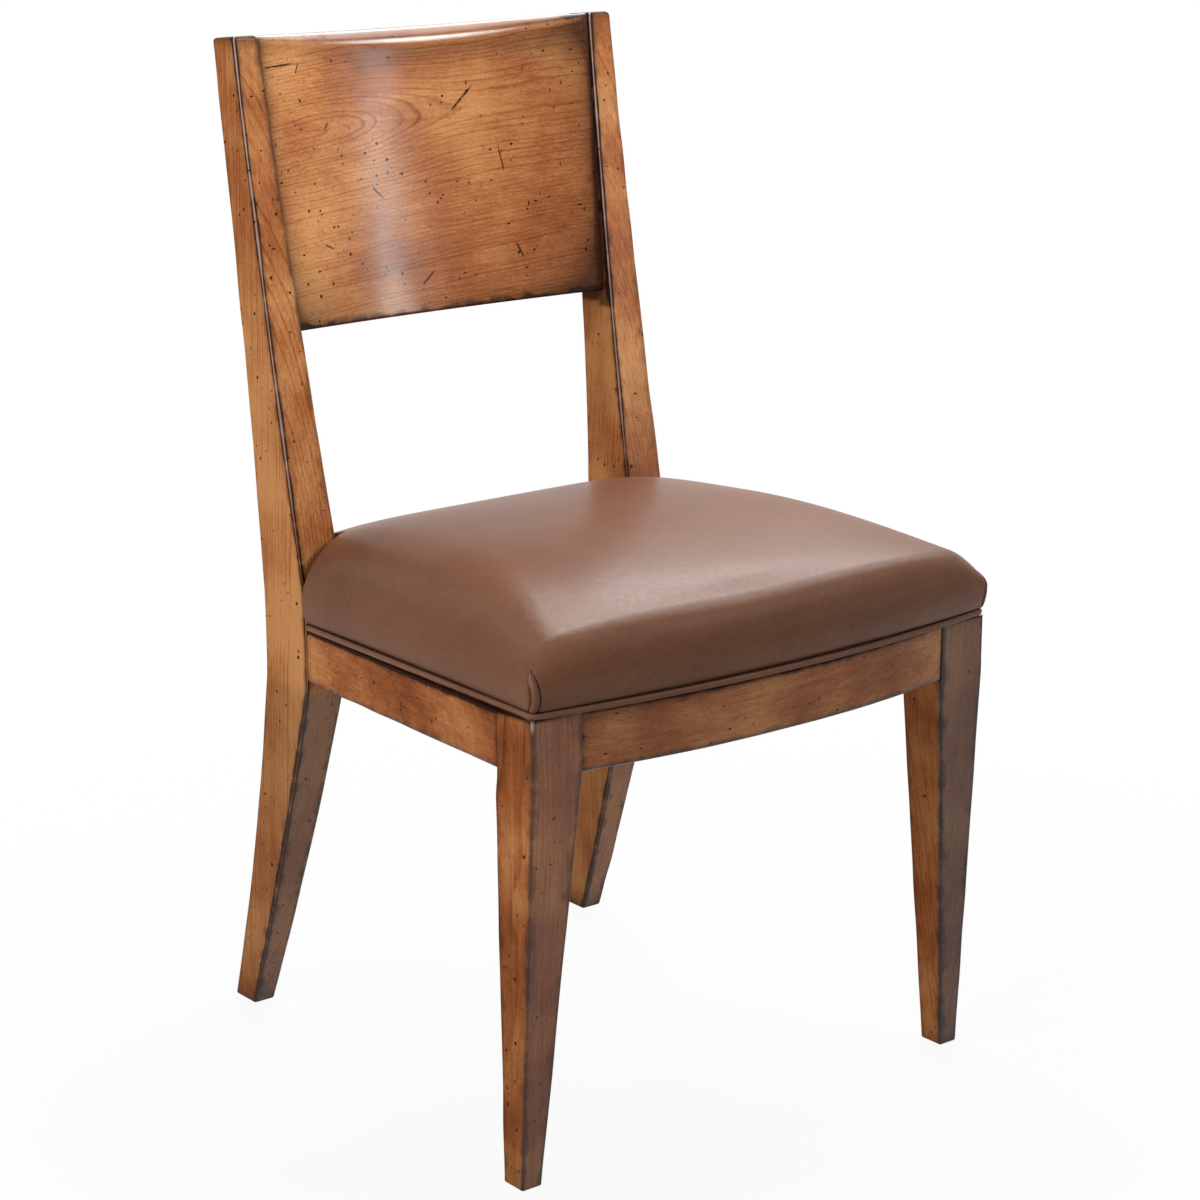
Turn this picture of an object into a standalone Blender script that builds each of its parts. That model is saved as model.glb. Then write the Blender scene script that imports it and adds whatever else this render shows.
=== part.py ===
"""Panel back dining chair: swept posts, tapered legs, bowed seat frame, hollow back panel, leather seat."""

from math import atan2, cos, pi, radians, sin, sqrt, tan

import bmesh
import bpy
from mathutils import Matrix, Vector

# Driving dimensions in metres. Depths run back from the front faces of the front legs,
# heights up from the floor.
GAP = 0.0003
HEIGHT = 0.9144

# Front legs: outer faces upright, the other three faces taper below the rails
FRONT_SPAN = 0.504
LEG_TOP_WIDTH = 0.0505
LEG_TOP_DEPTH = 0.049
LEG_FOOT_WIDTH = 0.020
LEG_FOOT_DEPTH = 0.0235
LEG_FOOT_SETBACK = 0.018
LEG_EASE = 0.0016

# Rear posts: a square block at the seat, a sabre leg below it and a raked stile above it
REAR_SPAN = 0.421
SEAT_DEPTH = 0.3905
POST_SEAT_WIDTH = 0.0435
POST_SEAT_DEPTH = 0.069
POST_BLOCK_RISE = 0.020
POST_LEAN = 0.0905
POST_TOP_WIDTH = 0.025
POST_TOP_DEPTH = 0.0375
POST_TOP_FALL = 0.003
POST_FOOT_SETBACK = 0.1075
POST_FOOT_WIDTH = 0.022
POST_FOOT_DEPTH = 0.0355
UPPER_FRONT_BOW = 0.003
UPPER_BACK_BOW = -0.0035
LOWER_FRONT_BOW = -0.0045
LOWER_BACK_BOW = -0.006
POST_SWEEP = 0.008
POST_FRONT_EASE = 0.0018
POST_BACK_ROUND = 0.005
POST_TOP_ROUND = 0.003

# Seat frame: the rail tops lie in one plane that falls towards the back
RAIL_TOP = 0.4148
SEAT_SLOPE = 0.052
RAIL_HEIGHT = 0.0488
FRONT_RAIL_HEIGHT = 0.0524
RAIL_THICKNESS = 0.022
RAIL_INSET = 0.001
RAIL_EASE = 0.001
FRONT_BOW = 0.0215
REAR_RAIL_INSET = 0.005

# Back panel: its hollow is a cylinder along the rake, and its top front edge is rolled over
PANEL_LOW = 0.6543
PANEL_THICKNESS = 0.020
PANEL_HOLLOW = 0.0215
PANEL_RECESS_LOW = 0.010
PANEL_RECESS_TOP = 0.003
PANEL_EASE = 0.002
ROLL_HEIGHT_MIDDLE = 0.0175
ROLL_HEIGHT_END = 0.005
ROLL_DEPTH_MIDDLE = 0.013
ROLL_DEPTH_END = 0.004
TONGUE_DEPTH = 0.010
TONGUE_THICKNESS = 0.009
TONGUE_INSET_LOW = 0.012
TONGUE_INSET_TOP = 0.022

# Corner blocks and fixings
FRONT_BLOCK_REACH = 0.055
REAR_BLOCK_REACH = 0.062
BLOCK_HEIGHT = 0.038
DOWEL_DIAMETER = 0.008
DOWEL_LENGTH = 0.036
DOWEL_SPACING = 0.024
SCREW_DIAMETER = 0.004
SCREW_HEAD_DIAMETER = 0.008
SCREW_HEAD_HEIGHT = 0.0025
SCREW_TIP = 0.005
BLOCK_SCREW_LENGTH = 0.038
BLOCK_SCREW_BITE = 0.012
SEAT_SCREW_BITE = 0.008
SEAT_SCREW_INSET = 0.011

# Upholstered seat, its heights measured above the plane of the rail tops
SEAT_OVERHANG = 0.001
SEAT_BOW = 0.026
SEAT_CORNER = 0.014
WELT_DIAMETER = 0.0064
BOARD_THICKNESS = 0.012
BOARD_INSET = 0.008
COVER_THICKNESS = 0.0015
COVER_TUCK = 0.0012
COVER_BULGE = 0.003
COVER_SHOULDER = 0.036
COVER_CROWN = 0.107
CROWN_ACROSS_POWER = 5.2
CROWN_ACROSS_ROOT = 1.25
CROWN_ALONG_POWER = 2.0
CROWN_ALONG_ROOT = 3.2
FOAM_INSET = 0.0024
NOTCH_CLEARANCE = 0.0008

# Resolution of the curved faces
POST_STEPS = 14
POST_TOP_STEPS = 3
BOW_STEPS = 16
PANEL_STEPS = 20
PANEL_FLAT_STEPS = 4
ROLL_STEPS = 5
ROUND_SIDES = 12
SEAT_FRONT_STEPS = 7
SEAT_CORNER_STEPS = 4
SEAT_SIDE_STEPS = 6
SEAT_REAR_STEPS = 4
SIDE_RINGS = 4
CROWN_RINGS = 9
WELD_DISTANCE = 0.00005
SHARP_ANGLE = radians(30)
EASED_ANGLE = radians(40)

# Places that follow from the driving dimensions
LEG_INNER = FRONT_SPAN / 2 - LEG_TOP_WIDTH
POST_INNER = REAR_SPAN / 2 - POST_SEAT_WIDTH
POST_BACK = SEAT_DEPTH + POST_SEAT_DEPTH
REAR_EDGE = POST_BACK - REAR_RAIL_INSET
REAR_RAIL_FRONT = REAR_EDGE - RAIL_THICKNESS
RAIL_TOP_AT_POST = RAIL_TOP - SEAT_SLOPE * SEAT_DEPTH
BLOCK_LOW = RAIL_TOP_AT_POST - RAIL_HEIGHT
BLOCK_HIGH = RAIL_TOP_AT_POST + POST_BLOCK_RISE
WELT_RADIUS = WELT_DIAMETER / 2
WELT_TOP = WELT_DIAMETER + 2 * GAP
FRONT_REACH = -(SEAT_BOW + SEAT_OVERHANG + COVER_BULGE)
BACK_REACH = SEAT_DEPTH + POST_FOOT_SETBACK + POST_FOOT_DEPTH
SEAT_TILT = Matrix(((1, 0, 0, 0), (0, 1, 0, 0), (0, -SEAT_SLOPE, 1, RAIL_TOP), (0, 0, 0, 1)))
SIDES = {"left": -1, "right": 1}


def make_material(name, colour, roughness, metallic=0.0):
    material = bpy.data.materials.new(name)
    material.use_nodes = True
    shader = material.node_tree.nodes["Principled BSDF"]
    shader.inputs["Base Color"].default_value = (*colour, 1.0)
    shader.inputs["Roughness"].default_value = roughness
    shader.inputs["Metallic"].default_value = metallic
    return material


def make_collection(name):
    collection = bpy.data.collections.new(name)
    bpy.context.scene.collection.children.link(collection)
    return collection


for old in list(bpy.data.objects):
    bpy.data.objects.remove(old, do_unlink=True)

PARTS = make_collection("panel_back_chair")
CUTTERS = make_collection("panel_back_chair_cutters")
ROOT = bpy.data.objects.new("chair_frame", None)
ROOT.location.y = -(FRONT_REACH + BACK_REACH) / 2
PARTS.objects.link(ROOT)

POST_CHERRY = make_material("post_cherry", (0.36, 0.15, 0.05), 0.4)
LEG_CHERRY = make_material("leg_cherry", (0.30, 0.12, 0.045), 0.4)
RAIL_CHERRY = make_material("rail_cherry", (0.33, 0.135, 0.045), 0.4)
PANEL_CHERRY = make_material("panel_cherry", (0.40, 0.17, 0.05), 0.35)
BLOCK_WOOD = make_material("block_poplar", (0.55, 0.45, 0.28), 0.7)
DOWEL_WOOD = make_material("dowel_beech", (0.62, 0.46, 0.30), 0.7)
PLYWOOD = make_material("board_plywood", (0.60, 0.47, 0.30), 0.7)
FOAM = make_material("seat_foam", (0.80, 0.74, 0.55), 0.95)
LEATHER = make_material("seat_leather", (0.21, 0.105, 0.055), 0.38)
WELT_LEATHER = make_material("welt_leather", (0.17, 0.08, 0.045), 0.38)
SCREW_STEEL = make_material("screw_steel", (0.62, 0.60, 0.55), 0.35, 1.0)


def add_part(name, data, material):
    """Link a finished shape as a named piece of the chair."""
    part = bpy.data.objects.new(name, data)
    part.parent = ROOT
    data.materials.append(material)
    if isinstance(data, bpy.types.Mesh):
        data.shade_smooth()
        data.set_sharp_from_angle(angle=SHARP_ANGLE)
    PARTS.objects.link(part)
    return part


def add_cutter(name, mesh):
    cutter = bpy.data.objects.new(name, mesh)
    cutter.parent = ROOT
    cutter.hide_render = True
    cutter.display_type = "WIRE"
    CUTTERS.objects.link(cutter)
    return cutter


def cut(part, cutter):
    modifier = part.modifiers.new(cutter.name, "BOOLEAN")
    modifier.operation = "DIFFERENCE"
    modifier.solver = "EXACT"
    modifier.object = cutter


def ease_edges(part, width):
    modifier = part.modifiers.new("eased_edges", "BEVEL")
    modifier.width = width
    modifier.segments = 2
    modifier.limit_method = "ANGLE"
    modifier.angle_limit = EASED_ANGLE


def finish_mesh(name, bm):
    mesh = bpy.data.meshes.new(name)
    bm.to_mesh(mesh)
    bm.free()
    return mesh


def loft(name, sections, cap_first=True):
    """Skin closed loops with equal numbers of points, one to the next, and cap the ends."""
    bm = bmesh.new()
    rings = [[bm.verts.new(point) for point in section] for section in sections]
    for ring, following in zip(rings, rings[1:]):
        turned, turned_following = ring[1:] + ring[:1], following[1:] + following[:1]
        for corners in zip(ring, turned, turned_following, following):
            bm.faces.new(corners)
    bm.faces.new(rings[-1])
    if cap_first:
        bm.faces.new(rings[0])
    bmesh.ops.recalc_face_normals(bm, faces=bm.faces)
    return finish_mesh(name, bm)


def prism(name, outline, low, high):
    """Flat outline in plan from one height to another above the rail tops, sheared to the seat's slope."""
    curve = bpy.data.curves.new(name, "CURVE")
    curve.dimensions = "2D"
    curve.fill_mode = "BOTH"
    curve.extrude = (high - low) / 2
    spline = curve.splines.new("POLY")
    spline.points.add(len(outline) - 1)
    for point, (across, back) in zip(spline.points, outline):
        point.co = (across, back, 0, 1)
    spline.use_cyclic_u = True
    holder = bpy.data.objects.new(name, curve)
    bpy.context.scene.collection.objects.link(holder)
    shape = holder.evaluated_get(bpy.context.evaluated_depsgraph_get())
    mesh = bpy.data.meshes.new_from_object(shape)
    bpy.data.objects.remove(holder)
    bm = bmesh.new()
    bm.from_mesh(mesh)
    bmesh.ops.remove_doubles(bm, verts=bm.verts, dist=WELD_DISTANCE)
    bmesh.ops.recalc_face_normals(bm, faces=bm.faces)
    bm.to_mesh(mesh)
    bm.free()
    mesh.transform(SEAT_TILT @ Matrix.Translation((0, 0, (low + high) / 2)))
    return mesh


def aim(item, start, end):
    """Set an object made along Z so that it runs from start to end."""
    item.location = (start + end) / 2
    item.rotation_mode = "QUATERNION"
    item.rotation_quaternion = (end - start).to_track_quat("Z", "Y")


def rod_mesh(name, length, radius):
    bm = bmesh.new()
    bmesh.ops.create_cone(
        bm, cap_ends=True, segments=ROUND_SIDES, radius1=radius, radius2=radius, depth=length)
    return finish_mesh(name, bm)


def bore(name, start, end, radius, pieces):
    """Cut a round hole from start to end out of every piece it passes through."""
    cutter = add_cutter(name + "_bore", rod_mesh(name + "_bore", (end - start).length, radius))
    aim(cutter, start, end)
    for piece in pieces:
        cut(piece, cutter)


def mirrored(points, side):
    return [(side * point[0], *point[1:]) for point in points]


def above_rails(across, back, height):
    """Point at a height above the sloping plane of the rail tops."""
    return Vector((across, back, RAIL_TOP - SEAT_SLOPE * back + height))


def bowed(start, end, bow, share):
    """Straight run from start to end, pushed out in the middle by bow along a parabola."""
    return start + (end - start) * share + 4 * bow * share * (1 - share)


def swept_share(distance, reach):
    """Share of a run that leaves the seat block upright and turns to its lean within the sweep."""
    run, whole = (sqrt(span ** 2 + POST_SWEEP ** 2) - POST_SWEEP for span in (distance, reach))
    return run / whole


def post_limits(height):
    """Front depth, back depth and inner face of a rear post at a height."""
    if height > BLOCK_HIGH:
        share = swept_share(height - BLOCK_HIGH, HEIGHT - BLOCK_HIGH)
        end_front, end_depth, end_width = SEAT_DEPTH + POST_LEAN, POST_TOP_DEPTH, POST_TOP_WIDTH
        front_bow, back_bow = UPPER_FRONT_BOW, UPPER_BACK_BOW
    else:
        share = swept_share(max(BLOCK_LOW - height, 0), BLOCK_LOW)
        end_front, end_depth, end_width = SEAT_DEPTH + POST_FOOT_SETBACK, POST_FOOT_DEPTH, POST_FOOT_WIDTH
        front_bow, back_bow = LOWER_FRONT_BOW, LOWER_BACK_BOW
    front = bowed(SEAT_DEPTH, end_front, front_bow, share)
    back = bowed(POST_BACK, end_front + end_depth, back_bow, share)
    width = bowed(POST_SEAT_WIDTH, end_width, 0, share)
    return front, back, REAR_SPAN / 2 - width


def rounded_corner(corner, radius, first_angle, steps):
    """Quarter circle tucked into a corner of a rectangle, from first_angle to a right angle more."""
    middle = first_angle + pi / 4
    centre = (corner[0] - sqrt(2) * radius * cos(middle), corner[1] - sqrt(2) * radius * sin(middle))
    angles = [first_angle + pi / 2 * step / steps for step in range(steps + 1)]
    return [(centre[0] + radius * cos(angle), centre[1] + radius * sin(angle)) for angle in angles]


def post_section(height, shrink=0.0):
    """Rectangle with eased front corners and rounded back corners; near the top it tips with the rake."""
    front, back, inner = post_limits(height)
    front, back, inner, outer = front + shrink, back - shrink, inner + shrink, REAR_SPAN / 2 - shrink
    outline = rounded_corner((inner, front), POST_FRONT_EASE, pi, 2)
    outline += rounded_corner((outer, front), POST_FRONT_EASE, 3 * pi / 2, 2)
    outline += rounded_corner((outer, back), POST_BACK_ROUND, 0, 3)
    outline += rounded_corner((inner, back), POST_BACK_ROUND, pi / 2, 3)
    tip = POST_TOP_FALL * max(height - BLOCK_HIGH, 0) / (HEIGHT - BLOCK_HIGH)
    return [(across, depth, height - tip * (depth - front) / (back - front)) for across, depth in outline]


def post_sections():
    """Sections from the floor to the top, the first and last drawn in to ease the end edges."""
    below = [BLOCK_LOW * step / POST_STEPS for step in range(1, POST_STEPS + 1)]
    reach = HEIGHT - POST_TOP_ROUND - BLOCK_HIGH
    above = [BLOCK_HIGH + reach * step / POST_STEPS for step in range(POST_STEPS + 1)]
    sections = [post_section(0, LEG_EASE), post_section(LEG_EASE)]
    sections += [post_section(height) for height in below + above]
    for step in range(1, POST_TOP_STEPS + 1):
        turn = pi / 2 * step / POST_TOP_STEPS
        height = HEIGHT - POST_TOP_ROUND * (1 - sin(turn))
        sections.append(post_section(height, POST_TOP_ROUND * (1 - cos(turn))))
    return sections


def make_post(side_name, side):
    sections = [mirrored(section, side) for section in post_sections()]
    return add_part(f"rear_post_{side_name}", loft("rear_post", sections), POST_CHERRY)


def leg_section(width, depth, setback, height):
    """Rectangle against the outer face of a front leg; height gives each corner's level from its depth."""
    outer, inner = FRONT_SPAN / 2, FRONT_SPAN / 2 - width
    near, far = setback, setback + depth
    corners = [(inner, near), (outer, near), (outer, far), (inner, far)]
    return [(across, back, height(back)) for across, back in corners]


def make_leg(side_name, side):
    knee = RAIL_TOP - FRONT_RAIL_HEIGHT
    sections = [
        leg_section(LEG_FOOT_WIDTH, LEG_FOOT_DEPTH, LEG_FOOT_SETBACK, lambda back: 0.0),
        leg_section(LEG_TOP_WIDTH, LEG_TOP_DEPTH, 0.0, lambda back: knee - SEAT_SLOPE * back),
        leg_section(LEG_TOP_WIDTH, LEG_TOP_DEPTH, 0.0, lambda back: RAIL_TOP - SEAT_SLOPE * back),
    ]
    mesh = loft("front_leg", [mirrored(section, side) for section in sections])
    leg = add_part(f"front_leg_{side_name}", mesh, LEG_CHERRY)
    ease_edges(leg, LEG_EASE)
    return leg


def rail_outer(back):
    """Outer face of the right side rail at a depth."""
    share = (back - LEG_TOP_DEPTH) / (SEAT_DEPTH - LEG_TOP_DEPTH)
    return FRONT_SPAN / 2 + (REAR_SPAN - FRONT_SPAN) / 2 * share - RAIL_INSET


def rail_inner(back):
    """Inner face of the right side rail at a depth, square to the slanted rail."""
    slant = atan2((FRONT_SPAN - REAR_SPAN) / 2, SEAT_DEPTH - LEG_TOP_DEPTH)
    return rail_outer(back) - RAIL_THICKNESS / cos(slant)


def make_rail(name, outline, height):
    rail = add_part(name, prism(name, outline, -height, 0.0), RAIL_CHERRY)
    ease_edges(rail, RAIL_EASE)
    return rail


def make_side_rail(side_name, side):
    near, far = LEG_TOP_DEPTH + GAP, SEAT_DEPTH - GAP
    outline = [(rail_outer(back), back) for back in (near, far)]
    outline += [(rail_inner(back), back) for back in (far, near)]
    return make_rail(f"side_rail_{side_name}", mirrored(outline, side), RAIL_HEIGHT)


def make_front_rail():
    half = LEG_INNER - GAP
    shares = [2 * step / BOW_STEPS - 1 for step in range(BOW_STEPS + 1)]
    outline = [(half * share, RAIL_INSET - FRONT_BOW * (1 - share ** 2)) for share in shares]
    outline += [(half, RAIL_THICKNESS), (-half, RAIL_THICKNESS)]
    return make_rail("front_rail", outline, FRONT_RAIL_HEIGHT)


def make_rear_rail():
    half = POST_INNER - GAP
    outline = [(-half, REAR_RAIL_FRONT), (half, REAR_RAIL_FRONT), (half, REAR_EDGE), (-half, REAR_EDGE)]
    return make_rail("rear_rail", outline, RAIL_HEIGHT)


def panel_frame():
    """Base point, rake direction, thickness direction and length of the panel where it meets the posts."""
    low = Vector((0, post_limits(PANEL_LOW)[0] + PANEL_RECESS_LOW, PANEL_LOW))
    high = Vector((0, post_limits(HEIGHT)[0] + PANEL_RECESS_TOP, HEIGHT))
    rake = (high - low).normalized()
    return low, rake, Vector((0, rake.z, -rake.y)), (high - low).length


def panel_profile(share):
    """Upright section as (run up the rake, depth) pairs; share is 0 in the middle and 1 at a post."""
    length = panel_frame()[3]
    roll_height = ROLL_HEIGHT_MIDDLE + (ROLL_HEIGHT_END - ROLL_HEIGHT_MIDDLE) * share ** 2
    roll_depth = ROLL_DEPTH_MIDDLE + (ROLL_DEPTH_END - ROLL_DEPTH_MIDDLE) * share ** 2
    shoulder = length - roll_height
    profile = [(0, PANEL_THICKNESS - PANEL_EASE), (0, PANEL_EASE), (PANEL_EASE, 0)]
    levels = [step / PANEL_FLAT_STEPS for step in range(1, PANEL_FLAT_STEPS)]
    profile += [(shoulder * level, 0) for level in levels]
    for step in range(ROLL_STEPS + 1):
        turn = pi / 2 * step / ROLL_STEPS
        profile.append((shoulder + roll_height * sin(turn), roll_depth * (1 - cos(turn))))
    profile += [(length, PANEL_THICKNESS - PANEL_EASE), (length - PANEL_EASE, PANEL_THICKNESS)]
    profile += [(length * level, PANEL_THICKNESS) for level in levels[::-1]]
    profile.append((PANEL_EASE, PANEL_THICKNESS))
    return profile


def panel_section(share, profile, reach):
    """Place a profile in the chair: share is -1 to 1 from post to post, reach is past their inner faces."""
    base, rake, inward, length = panel_frame()
    points = []
    for run, depth in profile:
        point = base + rake * run + inward * (depth + PANEL_HOLLOW * (1 - share ** 2))
        flat = base + rake * run
        points.append((share * (post_limits(flat.z)[2] + reach), point.y, point.z))
    return points


def tongue_profile(clearance):
    """Profile of the panel's end, drawn down to the tongue that enters the post."""
    length = panel_frame()[3]
    low, high = TONGUE_INSET_LOW - clearance, length - TONGUE_INSET_TOP + clearance
    near = (PANEL_THICKNESS - TONGUE_THICKNESS) / 2 - clearance
    far = (PANEL_THICKNESS + TONGUE_THICKNESS) / 2 + clearance
    return [
        (low + (high - low) * run / length, near + (far - near) * depth / PANEL_THICKNESS)
        for run, depth in panel_profile(1)
    ]


def make_panel(posts):
    shares = [2 * step / PANEL_STEPS - 1 for step in range(PANEL_STEPS + 1)]
    tongue = tongue_profile(0.0)
    sections = [panel_section(-1, tongue, TONGUE_DEPTH), panel_section(-1, tongue, -GAP)]
    sections += [panel_section(share, panel_profile(abs(share)), -GAP) for share in shares]
    sections += [panel_section(1, tongue, -GAP), panel_section(1, tongue, TONGUE_DEPTH)]
    add_part("back_panel", loft("back_panel", sections), PANEL_CHERRY)
    groove = tongue_profile(GAP)
    for side_name, side in SIDES.items():
        ends = [panel_section(side, groove, reach) for reach in (-TONGUE_DEPTH, TONGUE_DEPTH + GAP)]
        name = f"panel_groove_{side_name}"
        cut(posts[side_name], add_cutter(name, loft(name, ends)))


def dowel_joint(name, centre, direction, pieces):
    """Two dowels, one above the other, half in each of two pieces."""
    for level, rise in {"low": -0.5, "high": 0.5}.items():
        middle = centre + Vector((0, 0, rise * DOWEL_SPACING))
        half = direction * (DOWEL_LENGTH / 2)
        label = f"dowel_{name}_{level}"
        dowel = add_part(label, rod_mesh(label, DOWEL_LENGTH, DOWEL_DIAMETER / 2), DOWEL_WOOD)
        aim(dowel, middle - half, middle + half)
        spare = direction * GAP
        bore(label, middle - half - spare, middle + half + spare, DOWEL_DIAMETER / 2 + GAP, pieces)


def make_joints(side_name, side, posts, legs, side_rails, front_rail, rear_rail):
    """Dowels of the four rail joints on one side of the chair."""
    middle = -RAIL_HEIGHT / 2
    across, along = Vector((1, 0, 0)), Vector((0, 1, 0))
    leg, post, side_rail = legs[side_name], posts[side_name], side_rails[side_name]
    front_centre = above_rails(side * LEG_INNER, RAIL_THICKNESS / 2, middle)
    dowel_joint(f"front_rail_{side_name}", front_centre, across, (leg, front_rail))
    rear_centre = above_rails(side * POST_INNER, (REAR_RAIL_FRONT + REAR_EDGE) / 2, middle)
    dowel_joint(f"rear_rail_{side_name}", rear_centre, across, (post, rear_rail))
    for end, back, partner in (("front", LEG_TOP_DEPTH, leg), ("rear", SEAT_DEPTH, post)):
        centre = above_rails(side * (rail_outer(back) + rail_inner(back)) / 2, back, middle)
        dowel_joint(f"side_rail_{side_name}_{end}", centre, along, (side_rail, partner))


def screw_mesh(name, length):
    """Profile of a screw below and above its seat at Z 0, spun round Z by a modifier."""
    shank, head = SCREW_DIAMETER / 2, SCREW_HEAD_DIAMETER / 2
    profile = [
        (0, SCREW_HEAD_HEIGHT),
        (head * 0.8, SCREW_HEAD_HEIGHT),
        (head, SCREW_HEAD_HEIGHT * 0.4),
        (head, GAP),
        (shank, GAP),
        (shank, SCREW_TIP - length),
        (0, -length),
    ]
    mesh = bpy.data.meshes.new(name)
    edges = [(step, step + 1) for step in range(len(profile) - 1)]
    mesh.from_pydata([(radius, 0, height) for radius, height in profile], edges, [])
    return mesh


def add_screw(name, seat, direction, length, pieces):
    """Screw with its head on seat, driven along direction through its clearance hole in the pieces."""
    screw = add_part(name, screw_mesh(name, length), SCREW_STEEL)
    screw.location = seat
    screw.rotation_mode = "QUATERNION"
    screw.rotation_quaternion = (-direction).to_track_quat("Z", "Y")
    spin = screw.modifiers.new("turned", "SCREW")
    spin.steps = ROUND_SIDES
    spin.render_steps = ROUND_SIDES
    spin.use_merge_vertices = True
    spin.merge_threshold = WELD_DISTANCE
    outside = direction * SCREW_HEAD_DIAMETER
    bore(name, seat - outside, seat + direction * (length + GAP), SCREW_DIAMETER / 2 + GAP, pieces)


def front_block_outline():
    """Corners of the right front block, from its end on the front rail to its end on the side rail."""
    near, leg_back = RAIL_THICKNESS + GAP, LEG_TOP_DEPTH + GAP
    tail = LEG_TOP_DEPTH + FRONT_BLOCK_REACH
    return [
        (LEG_INNER - FRONT_BLOCK_REACH, near),
        (LEG_INNER - GAP, near),
        (LEG_INNER - GAP, leg_back),
        (rail_inner(leg_back) - GAP, leg_back),
        (rail_inner(tail) - GAP, tail),
    ]


def rear_block_outline():
    """Corners of the right rear block, from its end on the rear rail to its end on the side rail."""
    far, post_front = REAR_RAIL_FRONT - GAP, SEAT_DEPTH - GAP
    tail = SEAT_DEPTH - REAR_BLOCK_REACH
    return [
        (POST_INNER - REAR_BLOCK_REACH, far),
        (POST_INNER - GAP, far),
        (POST_INNER - GAP, post_front),
        (rail_inner(post_front) - GAP, post_front),
        (rail_inner(tail) - GAP, tail),
    ]


def make_block(name, outline, cross_rail, side_rail, board):
    """Corner block with a screw into each rail and one up into the seat board."""
    block = add_part(f"corner_block_{name}", prism(name, outline, -BLOCK_HEIGHT, 0.0), BLOCK_WOOD)
    first, last = Vector(outline[0]), Vector(outline[-1])
    slope = (last - first).normalized()
    corner = (Vector(outline[2]) - first) - slope * (Vector(outline[2]) - first).dot(slope)
    inward = corner.normalized()
    depth = BLOCK_SCREW_LENGTH - BLOCK_SCREW_BITE
    direction = Vector((inward.x, inward.y, 0))
    level = -RAIL_HEIGHT / 2
    ends = {
        "cross": (first, slope, Vector(outline[1]) - first, cross_rail),
        "side": (last, -slope, Vector(outline[3]) - last, side_rail),
    }
    for end, (start, run, face, rail) in ends.items():
        spot = start + run * depth / tan(run.angle(face))
        seat = above_rails(spot.x, spot.y, level)
        add_screw(f"block_screw_{name}_{end}", seat, direction, BLOCK_SCREW_LENGTH, (block, rail))
    spot = (first + last) / 2 + inward * SEAT_SCREW_INSET
    seat = above_rails(spot.x, spot.y, -BLOCK_HEIGHT - GAP)
    add_screw(f"seat_screw_{name}", seat, Vector((0, 0, 1)), BLOCK_HEIGHT + SEAT_SCREW_BITE, (block, board))


def seat_side(back, inset):
    """Right edge of the seat at a depth, the edge running beside the side rail."""
    share = back / SEAT_DEPTH
    return FRONT_SPAN / 2 + (REAR_SPAN - FRONT_SPAN) / 2 * share + SEAT_OVERHANG - inset


def seat_front(share, inset):
    """Depth of the bowed front edge, share being 0 in the middle and 1 at a corner."""
    return -SEAT_BOW * (1 - share ** 2) - SEAT_OVERHANG + inset


def seat_half(inset):
    """Right half of the seat's outline, from the middle of the front round to the middle of the back."""
    half = seat_side(0, inset)
    corner_share = 1 - SEAT_CORNER / half
    shares = [corner_share * step / SEAT_FRONT_STEPS for step in range(SEAT_FRONT_STEPS + 1)]
    points = [(half * share, seat_front(share, inset)) for share in shares]
    begin = Vector(points[-1])
    tip = Vector((half, seat_front(1, inset)))
    end = Vector((seat_side(SEAT_CORNER, inset), SEAT_CORNER))
    for step in range(1, SEAT_CORNER_STEPS):
        turn = step / SEAT_CORNER_STEPS
        points.append(tuple(begin * (1 - turn) ** 2 + tip * 2 * turn * (1 - turn) + end * turn ** 2))
    rear = REAR_EDGE - COVER_BULGE - inset
    run = (SEAT_DEPTH - SEAT_CORNER) / SEAT_SIDE_STEPS
    depths = [SEAT_CORNER + run * step for step in range(SEAT_SIDE_STEPS + 1)] + [rear]
    points += [(seat_side(back, inset), back) for back in depths]
    remaining = [1 - step / SEAT_REAR_STEPS for step in range(1, SEAT_REAR_STEPS + 1)]
    points += [(seat_side(rear, inset) * share, rear) for share in remaining]
    return points


def seat_outline(inset):
    """Whole outline of the seat, drawn in by inset, anticlockwise from the middle of the front."""
    half = seat_half(inset)
    return half + mirrored(half[1:-1], -1)[::-1]


def crown_fullness(across, back, inset):
    """Share of the crown's rise at a point: 1 in the middle and 0 all round, fuller across than along."""
    aside = min(abs(across) / seat_side(back, inset), 1.0)
    front = seat_front(aside, inset)
    rear = REAR_EDGE - COVER_BULGE - inset
    along = min(abs(2 * (back - front) / (rear - front) - 1), 1.0)
    fall_across = (1 - aside ** CROWN_ACROSS_POWER) ** (1 / CROWN_ACROSS_ROOT)
    fall_along = (1 - along ** CROWN_ALONG_POWER) ** (1 / CROWN_ALONG_ROOT)
    return fall_across * fall_along


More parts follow.
